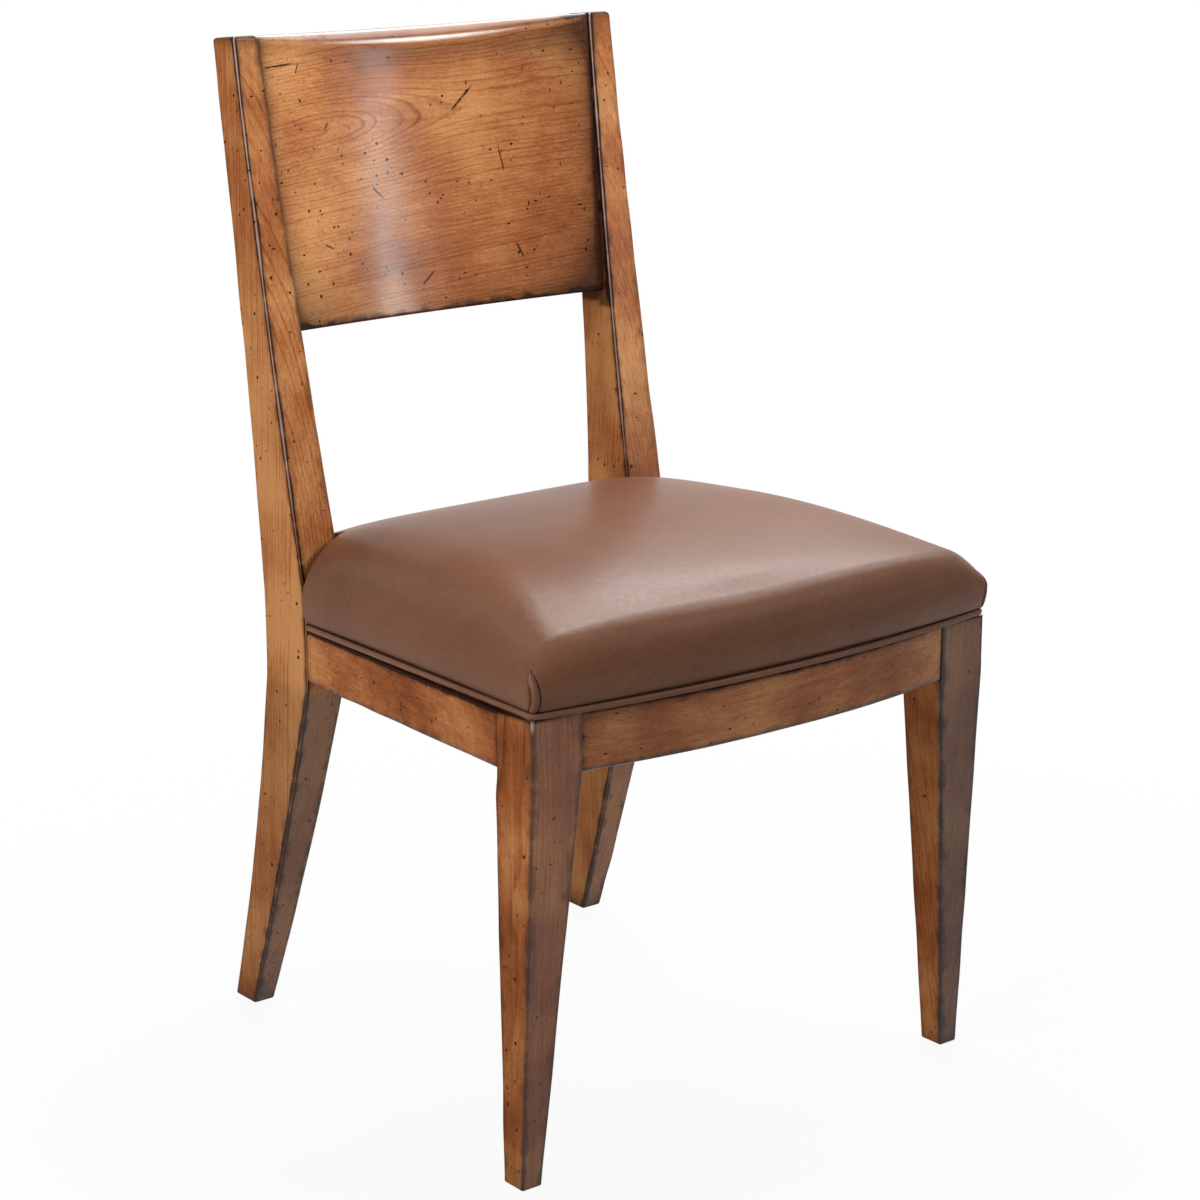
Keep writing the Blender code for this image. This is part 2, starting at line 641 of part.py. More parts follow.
def cushion_rings(shrink, side_base, rear_base):
    """Loops of the crowned seat: sides that swell from a drawn-in base, then the crown up to its middle."""
    shoulder, rise = COVER_SHOULDER - shrink, COVER_CROWN - COVER_SHOULDER
    rings = []
    for step in range(SIDE_RINGS + 1):
        share = step / SIDE_RINGS
        inset = COVER_TUCK - (COVER_TUCK + COVER_BULGE) * sin(share * pi / 2) + shrink
        ring = []
        for across, back in seat_outline(inset):
            base = rear_base if back > SEAT_DEPTH else side_base
            ring.append(above_rails(across, back, base + (shoulder - base) * share))
        rings.append(ring)
    edge = shrink - COVER_BULGE
    centre_back = REAR_EDGE / 2
    for step in range(1, CROWN_RINGS + 1):
        spread = cos(pi / 2 * step / (CROWN_RINGS + 0.5))
        ring = []
        for across, back in seat_outline(edge):
            near_across, near_back = across * spread, centre_back + (back - centre_back) * spread
            height = shoulder + rise * crown_fullness(near_across, near_back, edge)
            ring.append(above_rails(near_across, near_back, height))
        rings.append(ring)
    return rings


def notch_cutters():
    """Boxes that clear the rear posts out of the seat."""
    width, depth = POST_SEAT_WIDTH + RAIL_THICKNESS, POST_SEAT_DEPTH + RAIL_THICKNESS
    bottom, top = BLOCK_LOW, RAIL_TOP + COVER_CROWN
    cutters = []
    for side_name, side in SIDES.items():
        bm = bmesh.new()
        bmesh.ops.create_cube(bm, size=1.0)
        mesh = finish_mesh(f"post_notch_{side_name}", bm)
        middle = (
            side * (POST_INNER - NOTCH_CLEARANCE + width / 2),
            SEAT_DEPTH - NOTCH_CLEARANCE + depth / 2,
            (bottom + top) / 2)
        mesh.transform(Matrix.Translation(middle) @ Matrix.Diagonal((width, depth, top - bottom, 1)))
        cutters.append(add_cutter(f"post_notch_{side_name}", mesh))
    return cutters


def make_board(notches):
    board = add_part(
        "seat_board", prism("seat_board", seat_outline(BOARD_INSET), GAP, GAP + BOARD_THICKNESS), PLYWOOD)
    for notch in notches:
        cut(board, notch)
    return board


def make_cushion(notches):
    """Foam block and leather cover, both crowned, both notched round the posts."""
    board_top = BOARD_THICKNESS + 2 * GAP
    foam = add_part("seat_foam", loft("seat_foam", cushion_rings(FOAM_INSET, board_top, board_top)), FOAM)
    cover_rings = cushion_rings(0.0, WELT_TOP, GAP)
    cover = add_part("seat_cover", loft("seat_cover", cover_rings, cap_first=False), LEATHER)
    wall = cover.modifiers.new("leather", "SOLIDIFY")
    wall.thickness = COVER_THICKNESS
    wall.offset = -1
    for notch in notches:
        cut(foam, notch)
        cut(cover, notch)


def make_welt():
    """Cord round the base of the seat, from one post along the sides and the front to the other post."""
    end_back = SEAT_DEPTH - NOTCH_CLEARANCE
    half = [point for point in seat_half(WELT_RADIUS) if point[1] < end_back]
    half.append((seat_side(end_back, WELT_RADIUS), end_back))
    route = mirrored(half[1:], -1)[::-1] + half
    curve = bpy.data.curves.new("seat_welt", "CURVE")
    curve.dimensions = "3D"
    curve.bevel_depth = WELT_RADIUS
    curve.bevel_resolution = 2
    curve.use_fill_caps = True
    spline = curve.splines.new("POLY")
    spline.points.add(len(route) - 1)
    for point, (across, back) in zip(spline.points, route):
        point.co = (*above_rails(across, back, WELT_RADIUS + GAP), 1)
    add_part("seat_welt", curve, WELT_LEATHER)


posts = {name: make_post(name, side) for name, side in SIDES.items()}
legs = {name: make_leg(name, side) for name, side in SIDES.items()}
side_rails = {name: make_side_rail(name, side) for name, side in SIDES.items()}
front_rail = make_front_rail()
rear_rail = make_rear_rail()
make_panel(posts)
notches = notch_cutters()
board = make_board(notches)
make_cushion(notches)
make_welt()
for name, side in SIDES.items():
    make_joints(name, side, posts, legs, side_rails, front_rail, rear_rail)
    make_block(f"front_{name}", mirrored(front_block_outline(), side), front_rail, side_rails[name], board)
    make_block(f"rear_{name}", mirrored(rear_block_outline(), side), rear_rail, side_rails[name], board)
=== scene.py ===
# %% [markdown]
# # A panel back dining chair
# The chair is a cherry frame: two swept rear posts, two tapered front legs, a bowed seat frame and a
# hollow back panel, with a leather seat stretched over foam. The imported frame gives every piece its
# place, in metres, so each new surface is worked out straight in that frame.

import bpy
import numpy as np
from mathutils import Euler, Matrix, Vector


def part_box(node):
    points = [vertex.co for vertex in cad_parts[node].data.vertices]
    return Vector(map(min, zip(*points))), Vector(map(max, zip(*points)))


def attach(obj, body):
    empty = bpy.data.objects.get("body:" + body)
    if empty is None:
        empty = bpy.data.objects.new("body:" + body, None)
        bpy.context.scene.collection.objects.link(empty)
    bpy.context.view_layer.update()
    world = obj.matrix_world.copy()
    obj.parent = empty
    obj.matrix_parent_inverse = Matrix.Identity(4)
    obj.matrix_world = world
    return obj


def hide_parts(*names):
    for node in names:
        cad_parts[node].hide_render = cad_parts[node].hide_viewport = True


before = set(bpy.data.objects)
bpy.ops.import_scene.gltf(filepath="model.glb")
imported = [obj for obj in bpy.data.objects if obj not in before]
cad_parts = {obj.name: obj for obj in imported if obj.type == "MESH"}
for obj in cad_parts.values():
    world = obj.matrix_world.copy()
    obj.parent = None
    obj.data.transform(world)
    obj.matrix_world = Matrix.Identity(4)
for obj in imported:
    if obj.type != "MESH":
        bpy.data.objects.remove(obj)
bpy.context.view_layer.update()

# %% [markdown]
# ## Camera
# A long lens far from the chair keeps its uprights nearly parallel, as in the photograph. The camera
# looks from the front left, a little from above. Its place and angles come from the directions of the
# chair's own straight edges, so the drawn frame falls on the photographed one.

# %% Place the camera
SENSOR_WIDTH = 36.0
LENS = 93.33
CAMERA_PLACE = (-1.6679, -2.1257, 1.1673)
CAMERA_TURN = (74.4854, 0.064, -38.4067)

camera_data = bpy.data.cameras.new("photo_camera")
camera_data.sensor_width = SENSOR_WIDTH
camera_data.lens = LENS
camera = bpy.data.objects.new("photo_camera", camera_data)
camera.location = CAMERA_PLACE
camera.rotation_euler = Euler(np.radians(CAMERA_TURN))
bpy.context.scene.collection.objects.link(camera)
bpy.context.scene.camera = camera
bpy.context.scene.view_settings.view_transform = "Standard"
print("camera at", CAMERA_PLACE, "lens", LENS)

# %% [markdown]
# ## Sizes of the chair
# These are the sizes that the solids were drawn with. Depths run back from the front faces of the
# front legs, which the frame gives, and heights run up from the floor. The seat frame lies in a plane
# that falls gently towards the back.

# %% Sizes shared by several pieces
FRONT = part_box("front_leg_left")[0].y
GAP = 0.0003
HEIGHT = 0.9144
FRONT_SPAN = 0.504
REAR_SPAN = 0.421
SEAT_DEPTH = 0.3905
RAIL_TOP = 0.4148
SEAT_SLOPE = 0.052
RAIL_HEIGHT = 0.0488
FRONT_RAIL_HEIGHT = 0.0524
RAIL_THICKNESS = 0.022
RAIL_INSET = 0.001
FRONT_BOW = 0.0215
LEG_TOP_WIDTH = 0.0505
LEG_TOP_DEPTH = 0.049
POST_SEAT_WIDTH = 0.0435
POST_SEAT_DEPTH = 0.069
BLOCK_RISE = 0.020
REAR_RAIL_INSET = 0.005
POST_INNER = REAR_SPAN / 2 - POST_SEAT_WIDTH
POST_BACK = SEAT_DEPTH + POST_SEAT_DEPTH
RAIL_TOP_AT_POST = RAIL_TOP - SEAT_SLOPE * SEAT_DEPTH
BLOCK_LOW = RAIL_TOP_AT_POST - RAIL_HEIGHT
BLOCK_HIGH = RAIL_TOP_AT_POST + BLOCK_RISE
REAR_EDGE = POST_BACK - REAR_RAIL_INSET
SIDES = {"left": -1.0, "right": 1.0}
print("front faces of the legs at y", round(FRONT, 5))

# %% [markdown]
# ## From a grid of points to a piece
# Every wooden piece is a closed loop carried along a path: a grid of points whose columns run round
# and whose rows run along. Numpy makes the whole grid at once, and the first and last loops are closed
# with a flat face. The sign of the enclosed volume tells whether the faces look outwards.

# %% Mesh helpers
SHARP_ANGLE = np.radians(55)


def signed_volume(points, faces):
    """Sum of the tetrahedra between the origin and each face's fan of triangles, over six."""
    total = 0.0
    for corners in faces:
        corners = np.asarray(corners)
        first, second = points[corners[..., :1]], points[corners[..., 1:-1]]
        total += (first * np.cross(second, points[corners[..., 2:]])).sum()
    return total / 6


def add_mesh(name, points, faces, marks):
    """Link a mesh made of arrays of faces, with a number per point for each named mark."""
    mesh = bpy.data.meshes.new(name)
    flip = signed_volume(points, faces) < 0
    rows = [row for block in faces for row in np.atleast_2d(block).tolist()]
    mesh.from_pydata(points.tolist(), [], rows)
    for mark, values in marks.items():
        layer = mesh.attributes.new(mark, "FLOAT", "POINT")
        layer.data.foreach_set("value", np.ascontiguousarray(values, np.float32).ravel())
    if flip:
        mesh.flip_normals()
    mesh.shade_smooth()
    mesh.set_sharp_from_angle(angle=SHARP_ANGLE)
    piece = bpy.data.objects.new(name, mesh)
    bpy.context.scene.collection.objects.link(piece)
    return piece


def ring_quads(index):
    """Faces between the rows of an index grid whose columns run round and meet."""
    turned = np.roll(index, -1, axis=1)
    return np.stack((index[:-1], turned[:-1], turned[1:], index[1:]), axis=-1).reshape(-1, 4)


def add_loops(name, loops, marks):
    """Skin a stack of closed loops, shape (rows, columns, 3), and close its two ends."""
    rows, columns = loops.shape[:2]
    index = np.arange(rows * columns).reshape(rows, columns)
    faces = [ring_quads(index), index[:1, ::-1], index[-1:]]
    piece = add_mesh(name, loops.reshape(-1, 3), faces, marks)
    print(name, len(piece.data.vertices), "points", len(piece.data.polygons), "faces")
    return piece


def in_frame(points, side=1.0):
    """Mirror points for the left side, and count their depths from the frame's origin."""
    points[..., 0] *= side
    points[..., 1] += FRONT
    return points


def settle(piece, slot, *nodes):
    """Let a piece ride with the chair and stand for its solids."""
    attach(piece, "root")
    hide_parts(*nodes)


def both_sides(make, seeds, name, slot, node):
    """The left and the right piece, by name, from the loops that make gives for a side and a seed."""
    pieces = {}
    for (side_name, side), seed in zip(SIDES.items(), seeds):
        piece = add_loops(f"{name}_{side_name}", *make(side, seed))
        settle(piece, slot, f"{node}_{side_name}")
        pieces[f"{name}_{side_name}"] = piece
    return pieces


# %% [markdown]
# ## Hand work
# The frame is rubbed and planed by hand, so no edge is dead straight and no face dead flat. A sum of
# sine waves in seeded random directions gives a smooth, repeatable unevenness for any set of points.
# Moving the points a fraction of a millimetre is enough to make the reflections wander.

# %% Smooth unevenness
WAVES = 8
WAVE_SPREAD = (0.7, 1.5)
ARC_POINTS, SIDE_POINTS = 7, 11


def unevenness(points, size, seed):
    """Mean of several sine waves, each along its own random direction, with wavelengths near size."""
    random = np.random.default_rng(seed)
    directions = random.normal(size=(WAVES, 3))
    directions /= np.linalg.norm(directions, axis=1, keepdims=True)
    directions *= 2 * np.pi / (size * random.uniform(*WAVE_SPREAD, size=(WAVES, 1)))
    phases = random.uniform(0, 2 * np.pi, size=WAVES)
    return np.sin(points @ directions.T + phases).mean(axis=-1) * np.sqrt(2)


def wavering(mean, track, share, size, seed):
    """A measure that wanders along a track: mean * (1 + share * unevenness)."""
    return mean * (1 + share * unevenness(track, size, seed))


def smooth(value, low, high):
    """Smooth step from 0 at low to 1 at high: 3 s^2 - 2 s^3 of the share s between them."""
    share = np.clip((value - low) / (high - low), 0, 1)
    return share * share * (3 - 2 * share)


def fading(distance, reach, strength=1.0):
    """Strength that dies away with distance: strength * exp(-distance / reach)."""
    return strength * np.exp(-distance / reach)


def bell(offset, reach, strength=1.0):
    """Strength that dies away to both sides: strength * exp(-(offset / reach)^2)."""
    return strength * np.exp(-(offset / reach) ** 2)


def rounded_loop(left, right, near, far, radii):
    """Rectangles with rounded corners, one per row: quarter circles joined by straight runs of points,
    which stand closer together next to the corners.

    left, right, near and far are arrays over the rows; radii holds four such arrays, for the corners
    near left, near right, far right and far left. The result has shape (rows, columns, 2)."""
    corners = [(left, near, 1, 1), (right, near, -1, 1), (right, far, -1, -1), (left, far, 1, -1)]
    arcs = []
    for number, ((across, along, inward, onward), radius) in enumerate(zip(corners, radii)):
        angles = np.pi + number * np.pi / 2 + np.linspace(0, np.pi / 2, ARC_POINTS)
        centre = np.stack((across + inward * radius, along + onward * radius), axis=-1)
        circle = np.stack((np.cos(angles), np.sin(angles)), axis=-1)
        arcs.append(centre[:, None] + radius[:, None, None] * circle)
    share = (1 - np.cos(np.linspace(0, np.pi, SIDE_POINTS + 2)[1:-1, None])) / 2
    pieces = []
    for arc, following in zip(arcs, arcs[1:] + arcs[:1]):
        pieces += [arc, arc[:, -1:] + (following[:, :1] - arc[:, -1:]) * share]
    return np.concatenate(pieces, axis=1)


def edge_distance(loop, left, right, near, far):
    """Distance of each point of a rectangle's loop from the nearest long edge, along its own face."""
    across = np.minimum(loop[..., 0] - left[:, None], right[:, None] - loop[..., 0])
    along = np.minimum(loop[..., 1] - near[:, None], far[:, None] - loop[..., 1])
    return np.maximum(across, along)


def rubbed(points, depth, size, seed):
    """Push each point of a stack of loops out of its loop's middle, or in, by a smooth random amount."""
    outward = points - points.mean(axis=1, keepdims=True)
    outward /= np.linalg.norm(outward, axis=-1, keepdims=True)
    return points + outward * (depth * unevenness(points, size, seed))[..., None]


# %% [markdown]
# ## Rear posts
# Each post is one stick: a straight block where the rails meet it, a sabre-shaped leg below and a stile
# that leans back above. A stack of rounded rectangles follows those curves. The front corners are only
# eased, the back corners are well rounded, and the top is cut square to the lean and softened.

# %% Rear posts
POST_LEAN = 0.0905
POST_TOP_WIDTH = 0.025
POST_TOP_DEPTH = 0.0375
POST_TOP_FALL = 0.003
POST_FOOT_SETBACK = 0.1075
POST_FOOT_WIDTH = 0.022
POST_FOOT_DEPTH = 0.0355
POST_SWEEP = 0.008
UPPER_BOWS = (0.003, -0.0035)
LOWER_BOWS = (-0.0045, -0.006)
POST_ROWS = 240
POST_EASE = 0.0021
POST_BACK_ROUND = 0.005
POST_TOP_ROUND = 0.0035
FOOT_EASE = 0.0018
BACK_FULLNESS = 0.0022
LEG_SLIM = 0.0028
PANEL_LOW = 0.6543
EASE_ROWS = 6
POST_WANDER, POST_WANDER_SIZE, POST_SIDE_WANDER = 0.00045, 0.11, 0.7
EASE_WAVER, BACK_WAVER = (0.45, 0.05), (0.25, 0.08)
POST_RUB = (0.00022, 0.07)
SLIM_START, SLIM_REACH, FULL_REACH = 0.012, 0.12, 0.10


def bowed(start, end, bow, share):
    """Straight run from start to end pushed sideways by a parabola whose middle moves by bow."""
    return start + (end - start) * share + 4 * bow * share * (1 - share)


def swept(distance, reach):
    """Share of a run that starts level with the block and turns to its full lean within the sweep."""
    def run(span):
        return np.sqrt(span ** 2 + POST_SWEEP ** 2) - POST_SWEEP
    return run(distance) / run(reach)


def post_faces(height):
    """Front depth, back depth and inner face of a post at an array of heights."""
    above = height > BLOCK_HIGH
    rise = swept(np.maximum(height - BLOCK_HIGH, 0), HEIGHT - BLOCK_HIGH)
    fall = swept(np.maximum(BLOCK_LOW - height, 0), BLOCK_LOW)
    share = np.where(above, rise, fall)
    end_front = SEAT_DEPTH + np.where(above, POST_LEAN, POST_FOOT_SETBACK)
    end_depth = np.where(above, POST_TOP_DEPTH, POST_FOOT_DEPTH)
    end_width = np.where(above, POST_TOP_WIDTH, POST_FOOT_WIDTH)
    front_bow, back_bow = (np.where(above, up, down) for up, down in zip(UPPER_BOWS, LOWER_BOWS))
    front = bowed(SEAT_DEPTH, end_front, front_bow, share)
    back = bowed(POST_BACK, end_front + end_depth, back_bow, share)
    return front, back, REAR_SPAN / 2 - bowed(POST_SEAT_WIDTH, end_width, 0, share)


def eased_foot():
    """Heights and draw-ins of the rows that ease a foot's edge: a quarter circle without its end."""
    turn = np.linspace(0, np.pi / 2, EASE_ROWS)[:-1]
    return FOOT_EASE * (1 - np.cos(turn)), FOOT_EASE * (1 - np.sin(turn))


def stick_points(loop, height, drop, draw_in, rub, seed):
    """Points (across, depth, height - drop) of a stick's loops, rubbed where they aren't drawn in."""
    points = np.stack((loop[..., 0], loop[..., 1], height[:, None] - drop), axis=-1)
    body = (draw_in == 0)[:, None, None]
    return np.where(body, rubbed(points, *rub, seed), points)


def post_loops(side, seed):
    """Loops of one post from foot to top, and the marks that its finish follows.

    The top edge is a quarter circle, and the top falls to the back by POST_TOP_FALL."""
    foot, foot_draw = eased_foot()
    turn = np.linspace(0, np.pi / 2, EASE_ROWS)[1:]
    top = HEIGHT - POST_TOP_ROUND * (1 - np.sin(turn))
    height = np.concatenate((foot, np.linspace(FOOT_EASE, HEIGHT - POST_TOP_ROUND, POST_ROWS), top))
    draw_in = np.concatenate((foot_draw, np.zeros(POST_ROWS), POST_TOP_ROUND * (1 - np.cos(turn))))
    front, back, inner = post_faces(height)
    track = np.stack((np.full_like(height, seed), front, height), axis=-1)
    wander = POST_WANDER * unevenness(track, POST_WANDER_SIZE, seed)
    below = np.maximum(BLOCK_LOW - height, 0)
    slim = LEG_SLIM * smooth(below, 0, SLIM_START) * fading(below, SLIM_REACH)
    full = bell(height - BLOCK_HIGH, FULL_REACH, BACK_FULLNESS)
    near, far = front + draw_in, back - draw_in + wander + full
    left, right = inner + draw_in + slim, REAR_SPAN / 2 - draw_in + POST_SIDE_WANDER * wander
    ease = wavering(POST_EASE, track, *EASE_WAVER, seed + 1)
    round_back = wavering(POST_BACK_ROUND, track, *BACK_WAVER, seed + 2)
    loop = rounded_loop(left, right, near, far, (ease, ease, round_back, round_back))
    tip = POST_TOP_FALL * np.clip((height - BLOCK_HIGH) / (HEIGHT - BLOCK_HIGH), 0, 1)
    from_inner, from_front = loop[..., 0] - left[:, None], loop[..., 1] - near[:, None]
    fall = tip[:, None] * from_front / (far - near)[:, None]
    points = stick_points(loop, height, fall, draw_in, POST_RUB, seed + 3)
    from_lit = right[:, None] - loop[..., 0] if side < 0 else from_inner
    marks = post_marks(points[..., 2], from_inner, from_front, from_lit, ease[:, None], FRONT_POLISH[side])
    marks["edge"] = edge_distance(loop, left, right, near, far)
    return in_frame(points, side), marks


print("posts lean back by", round(float(post_faces(np.array(HEIGHT))[0]) - SEAT_DEPTH, 4), "m")

# %% [markdown]
# Rags and hands leave their traces on a finish, and light and shade are painted into it too. Each point
# of a mesh therefore carries numbers, called marks, which the shader reads later: dark glaze at ends and
# joints, painted shade, a painted highlight on a corner, polish and a lighter tone. In the values, a pair
# is the reach and strength of what fades, or the ends of a smooth step.

# %% Marks on the posts
FACE_FADE = 0.002
TOP_GLAZE, FOOT_GLAZE = (0.007, 1.0), (0.012, 0.5)
SEAT_LINE_HEIGHT = RAIL_TOP_AT_POST + 0.045
SEAT_LINE, SEAT_LINE_DEPTH = (0.03, 0.5), 0.004
PANEL_JOINT_LOW, PANEL_JOINT = PANEL_LOW - 0.014, (0.0022, 0.9)
HIGHLIGHT_CORNER, HIGHLIGHT_HEIGHT = (0.587, 0.67), (0.46, 0.56)
BESIDE_HIGHLIGHT, BESIDE_START, BESIDE_END = 0.75, (0.60, 0.72), (0.0002, 0.0016)
BELOW_SEAT = (BLOCK_LOW - 0.02, BLOCK_LOW)
LOWER_POLISH, LOWER_SHADE, LOWER_FRONT_SHADE = 0.6, 0.30, 0.2
FRONT_POLISH = {-1.0: 0.10, 1.0: 0.02}
PALE_ABOVE, PALE_BELOW, PALE_DEPTH = 0.25, 0.10, (0, 0.004)


def post_marks(height, from_inner, from_front, from_lit, ease, front_polish):
    """Dark glaze at ends and joints, a painted highlight on the lit front corner above the seat with dark
    lines beside it, painted shade below the seat, polish on the front below it, and a lighter tone round
    the block."""
    ends = fading(HEIGHT - height, *TOP_GLAZE) + fading(height, *FOOT_GLAZE)
    seat_line = fading(np.abs(height - SEAT_LINE_HEIGHT), *SEAT_LINE) * fading(from_front, SEAT_LINE_DEPTH)
    panel_joint = fading(np.maximum(from_inner, 0), *PANEL_JOINT) * (height > PANEL_JOINT_LOW)
    corner = from_front + from_lit
    # Dark lines along both sides of the painted highlight.
    beside = BESIDE_HIGHLIGHT * smooth(corner / ease, *BESIDE_START) * (1 - smooth(corner - ease, *BESIDE_END))
    # Painted highlight: a pale line on the front corner that faces the light, above the seat.
    painted_highlight = (1 - smooth(corner / ease, *HIGHLIGHT_CORNER)) * smooth(height, *HIGHLIGHT_HEIGHT)
    on_front = fading(from_front, FACE_FADE)
    below_seat = 1 - smooth(height, *BELOW_SEAT)
    polish = np.clip(on_front * (front_polish + LOWER_POLISH * below_seat) + painted_highlight, 0, 1)
    # Painted shade on the post below the seat, more on its front face.
    lower = below_seat * (LOWER_SHADE + LOWER_FRONT_SHADE * on_front)
    glaze_and_shade = np.clip(ends + seat_line + panel_joint + beside + lower, 0, 1) * (1 - painted_highlight)
    reach = np.where(height > BLOCK_HIGH, PALE_ABOVE, PALE_BELOW)
    pale = bell(height - BLOCK_HIGH, reach) * smooth(from_front, *PALE_DEPTH)
    return {"glaze_and_shade": glaze_and_shade, "painted_highlight": painted_highlight, "polish": polish, "pale": pale}


posts = both_sides(post_loops, (11, 23), "post", "post_cherry", "rear_post")

# %% [markdown]
# ## Front legs
# A front leg is square where the rails meet it. Below the front rail three of its faces taper to a
# small foot, and the outer face stays upright. The same rounded rectangles make it, with their four
# sides moved in by the share of the taper.

# %% Front legs
LEG_FOOT_WIDTH = 0.020
LEG_FOOT_DEPTH = 0.0235
LEG_FOOT_SETBACK = 0.018
LEG_FULLNESS = 0.0022
LEG_EASE = 0.002
LEG_INNER_EASE = 0.4
LEG_FULLNESS_START = (0.0, 0.06)
LEG_WANDER, LEG_WANDER_SIZE = 0.0004, 0.10
LEG_RUB = (0.0002, 0.07)
LEG_ROWS = 150
KNEE = RAIL_TOP - FRONT_RAIL_HEIGHT


def leg_loops(side, seed):
    """Loops of one leg from the foot to the plane of the rail tops, and the marks of its finish."""
    foot, foot_draw = eased_foot()
    height = np.concatenate((foot, np.linspace(FOOT_EASE, RAIL_TOP - GAP, LEG_ROWS)))
    draw_in = np.concatenate((foot_draw, np.zeros(LEG_ROWS)))
    share = np.clip(1 - height / KNEE, 0, 1)
    outer = np.full_like(height, FRONT_SPAN / 2)
    inner = outer - LEG_TOP_WIDTH + (LEG_TOP_WIDTH - LEG_FOOT_WIDTH) * share
    near = LEG_FOOT_SETBACK * share
    far = LEG_TOP_DEPTH + (LEG_FOOT_SETBACK + LEG_FOOT_DEPTH - LEG_TOP_DEPTH) * share
    far += LEG_FULLNESS * smooth(share, *LEG_FULLNESS_START)
    track = np.stack((np.full_like(height, seed), near, height), axis=-1)
    wander = LEG_WANDER * unevenness(track, LEG_WANDER_SIZE, seed) * (share > 0)
    left, right = inner + draw_in + wander, outer - draw_in
    front, back = near + draw_in, far - draw_in + wander
    ease = wavering(LEG_EASE, track, *EASE_WAVER, seed + 1)
    loop = rounded_loop(left, right, front, back, (LEG_INNER_EASE * ease, ease, ease, ease))
    slope = SEAT_SLOPE * np.clip(height / KNEE, 0, 1)[:, None] * loop[..., 1]
    points = stick_points(loop, height, slope, draw_in, LEG_RUB, seed + 2)
    marks = leg_marks(points[..., 2], loop, left, right, front, LEG_FRONT_SHADE[side])
    marks["edge"] = edge_distance(loop, left, right, front, back)
    return in_frame(points, side), marks


print("front legs taper below", round(KNEE, 4), "m")

# %% [markdown]
# The legs carry painted shadow under the welt, painted shade low on their sides and on their front
# faces, far more on the right leg's front than the left one's, and dark glaze at the foot and along the
# front corners. Their front faces are polished, and a painted highlight sits at the top of the outer
# corner.

# %% Marks on the legs
WELT_LINE, WELT_SHADE = (0.0016, 0.0032), (0.004, 0.3)
LEG_CORNER, LEG_CORNER_GLAZE = (0.0015, 0.0035), 0.35
LEG_HIGHLIGHT_CORNER, LEG_HIGHLIGHT_HEIGHT = (0.0012, 0.0024), (RAIL_TOP - 0.011, RAIL_TOP - 0.005)
LEG_FOOT_GLAZE = (0.012, 0.4)
LEG_LOWER_HEIGHT, LEG_LOWER_SHADE = (0.05, 0.35), 0.10
LEG_FRONT_SHADE = {-1.0: 0.06, 1.0: 0.65}
LEG_POLISH = 0.75


def welt_shadow(below):
    """Painted shadow where the welt sits on the frame: full in the first millimetre and a half, then
    fading.
    """
    return np.clip(1 - smooth(below, *WELT_LINE) + fading(np.maximum(below, 0), *WELT_SHADE), 0, 1)


def leg_marks(height, loop, left, right, front, front_shade):
    """Painted shadow under the welt, painted shade on the front face and low on the sides, dark glaze at
    the foot and along the front corners, polish on the front face, and a painted highlight on the outer
    corner at the top."""
    from_front = np.maximum(loop[..., 1] - front[:, None], 0)
    from_outer = right[:, None] - loop[..., 0]
    from_side = np.maximum(np.minimum(loop[..., 0] - left[:, None], from_outer), 0)
    # Painted shadow under the welt.
    top = welt_shadow(RAIL_TOP - SEAT_SLOPE * loop[..., 1] - height)
    corner_line = LEG_CORNER_GLAZE * (1 - smooth(from_front + from_side, *LEG_CORNER))
    # Painted highlight at the top of the outer front corner.
    painted_highlight = 1 - smooth(from_front + np.maximum(from_outer, 0), *LEG_HIGHLIGHT_CORNER)
    painted_highlight = painted_highlight * smooth(height, *LEG_HIGHLIGHT_HEIGHT)
    on_front = fading(from_front, FACE_FADE)
    # Painted shade low on the sides.
    lower = LEG_LOWER_SHADE * (1 - smooth(height, *LEG_LOWER_HEIGHT)) * (1 - on_front)
    foot = fading(height, *LEG_FOOT_GLAZE) + lower
    # Painted shade on the front face, far more on the right leg than the left.
    glaze_and_shade = np.clip(top + corner_line + foot + front_shade * on_front, 0, 1) * (1 - painted_highlight)
    polish = np.clip(LEG_POLISH * on_front * (1 - top) + painted_highlight, 0, 1)
    return {"glaze_and_shade": glaze_and_shade, "painted_highlight": painted_highlight, "polish": polish}


legs = both_sides(leg_loops, (37, 41), "leg", "leg_cherry", "front_leg")

# %% [markdown]
# ## Seat rails
# The rails are boards on edge. Each one is a rounded rectangle carried from one end to the other: the
# side rails run straight between leg and post, the rear rail runs between the posts, and the face of
# the front rail bows forward. Their tops follow the slope of the seat.

# %% Seat rails
RAIL_ROWS = 140
RAIL_EASE = 0.0014
RAIL_LOWER_EASE = 0.0026
RAIL_WAVER, RAIL_RUB = (0.35, 0.06), (0.00018, 0.06)
RAIL_END_EDGE = 0.004
RAIL_END_GLAZE = (0.0018, 0.5)
LOWER_EDGE, LOWER_EDGE_GLAZE, LOWER_EDGE_POLISH = (0.0015, 0.0045), 0.6, 0.4


def rail_outer(back):
    """Outer face of the right side rail at a depth."""
    share = (back - LEG_TOP_DEPTH) / (SEAT_DEPTH - LEG_TOP_DEPTH)
    return FRONT_SPAN / 2 + (REAR_SPAN - FRONT_SPAN) / 2 * share - RAIL_INSET


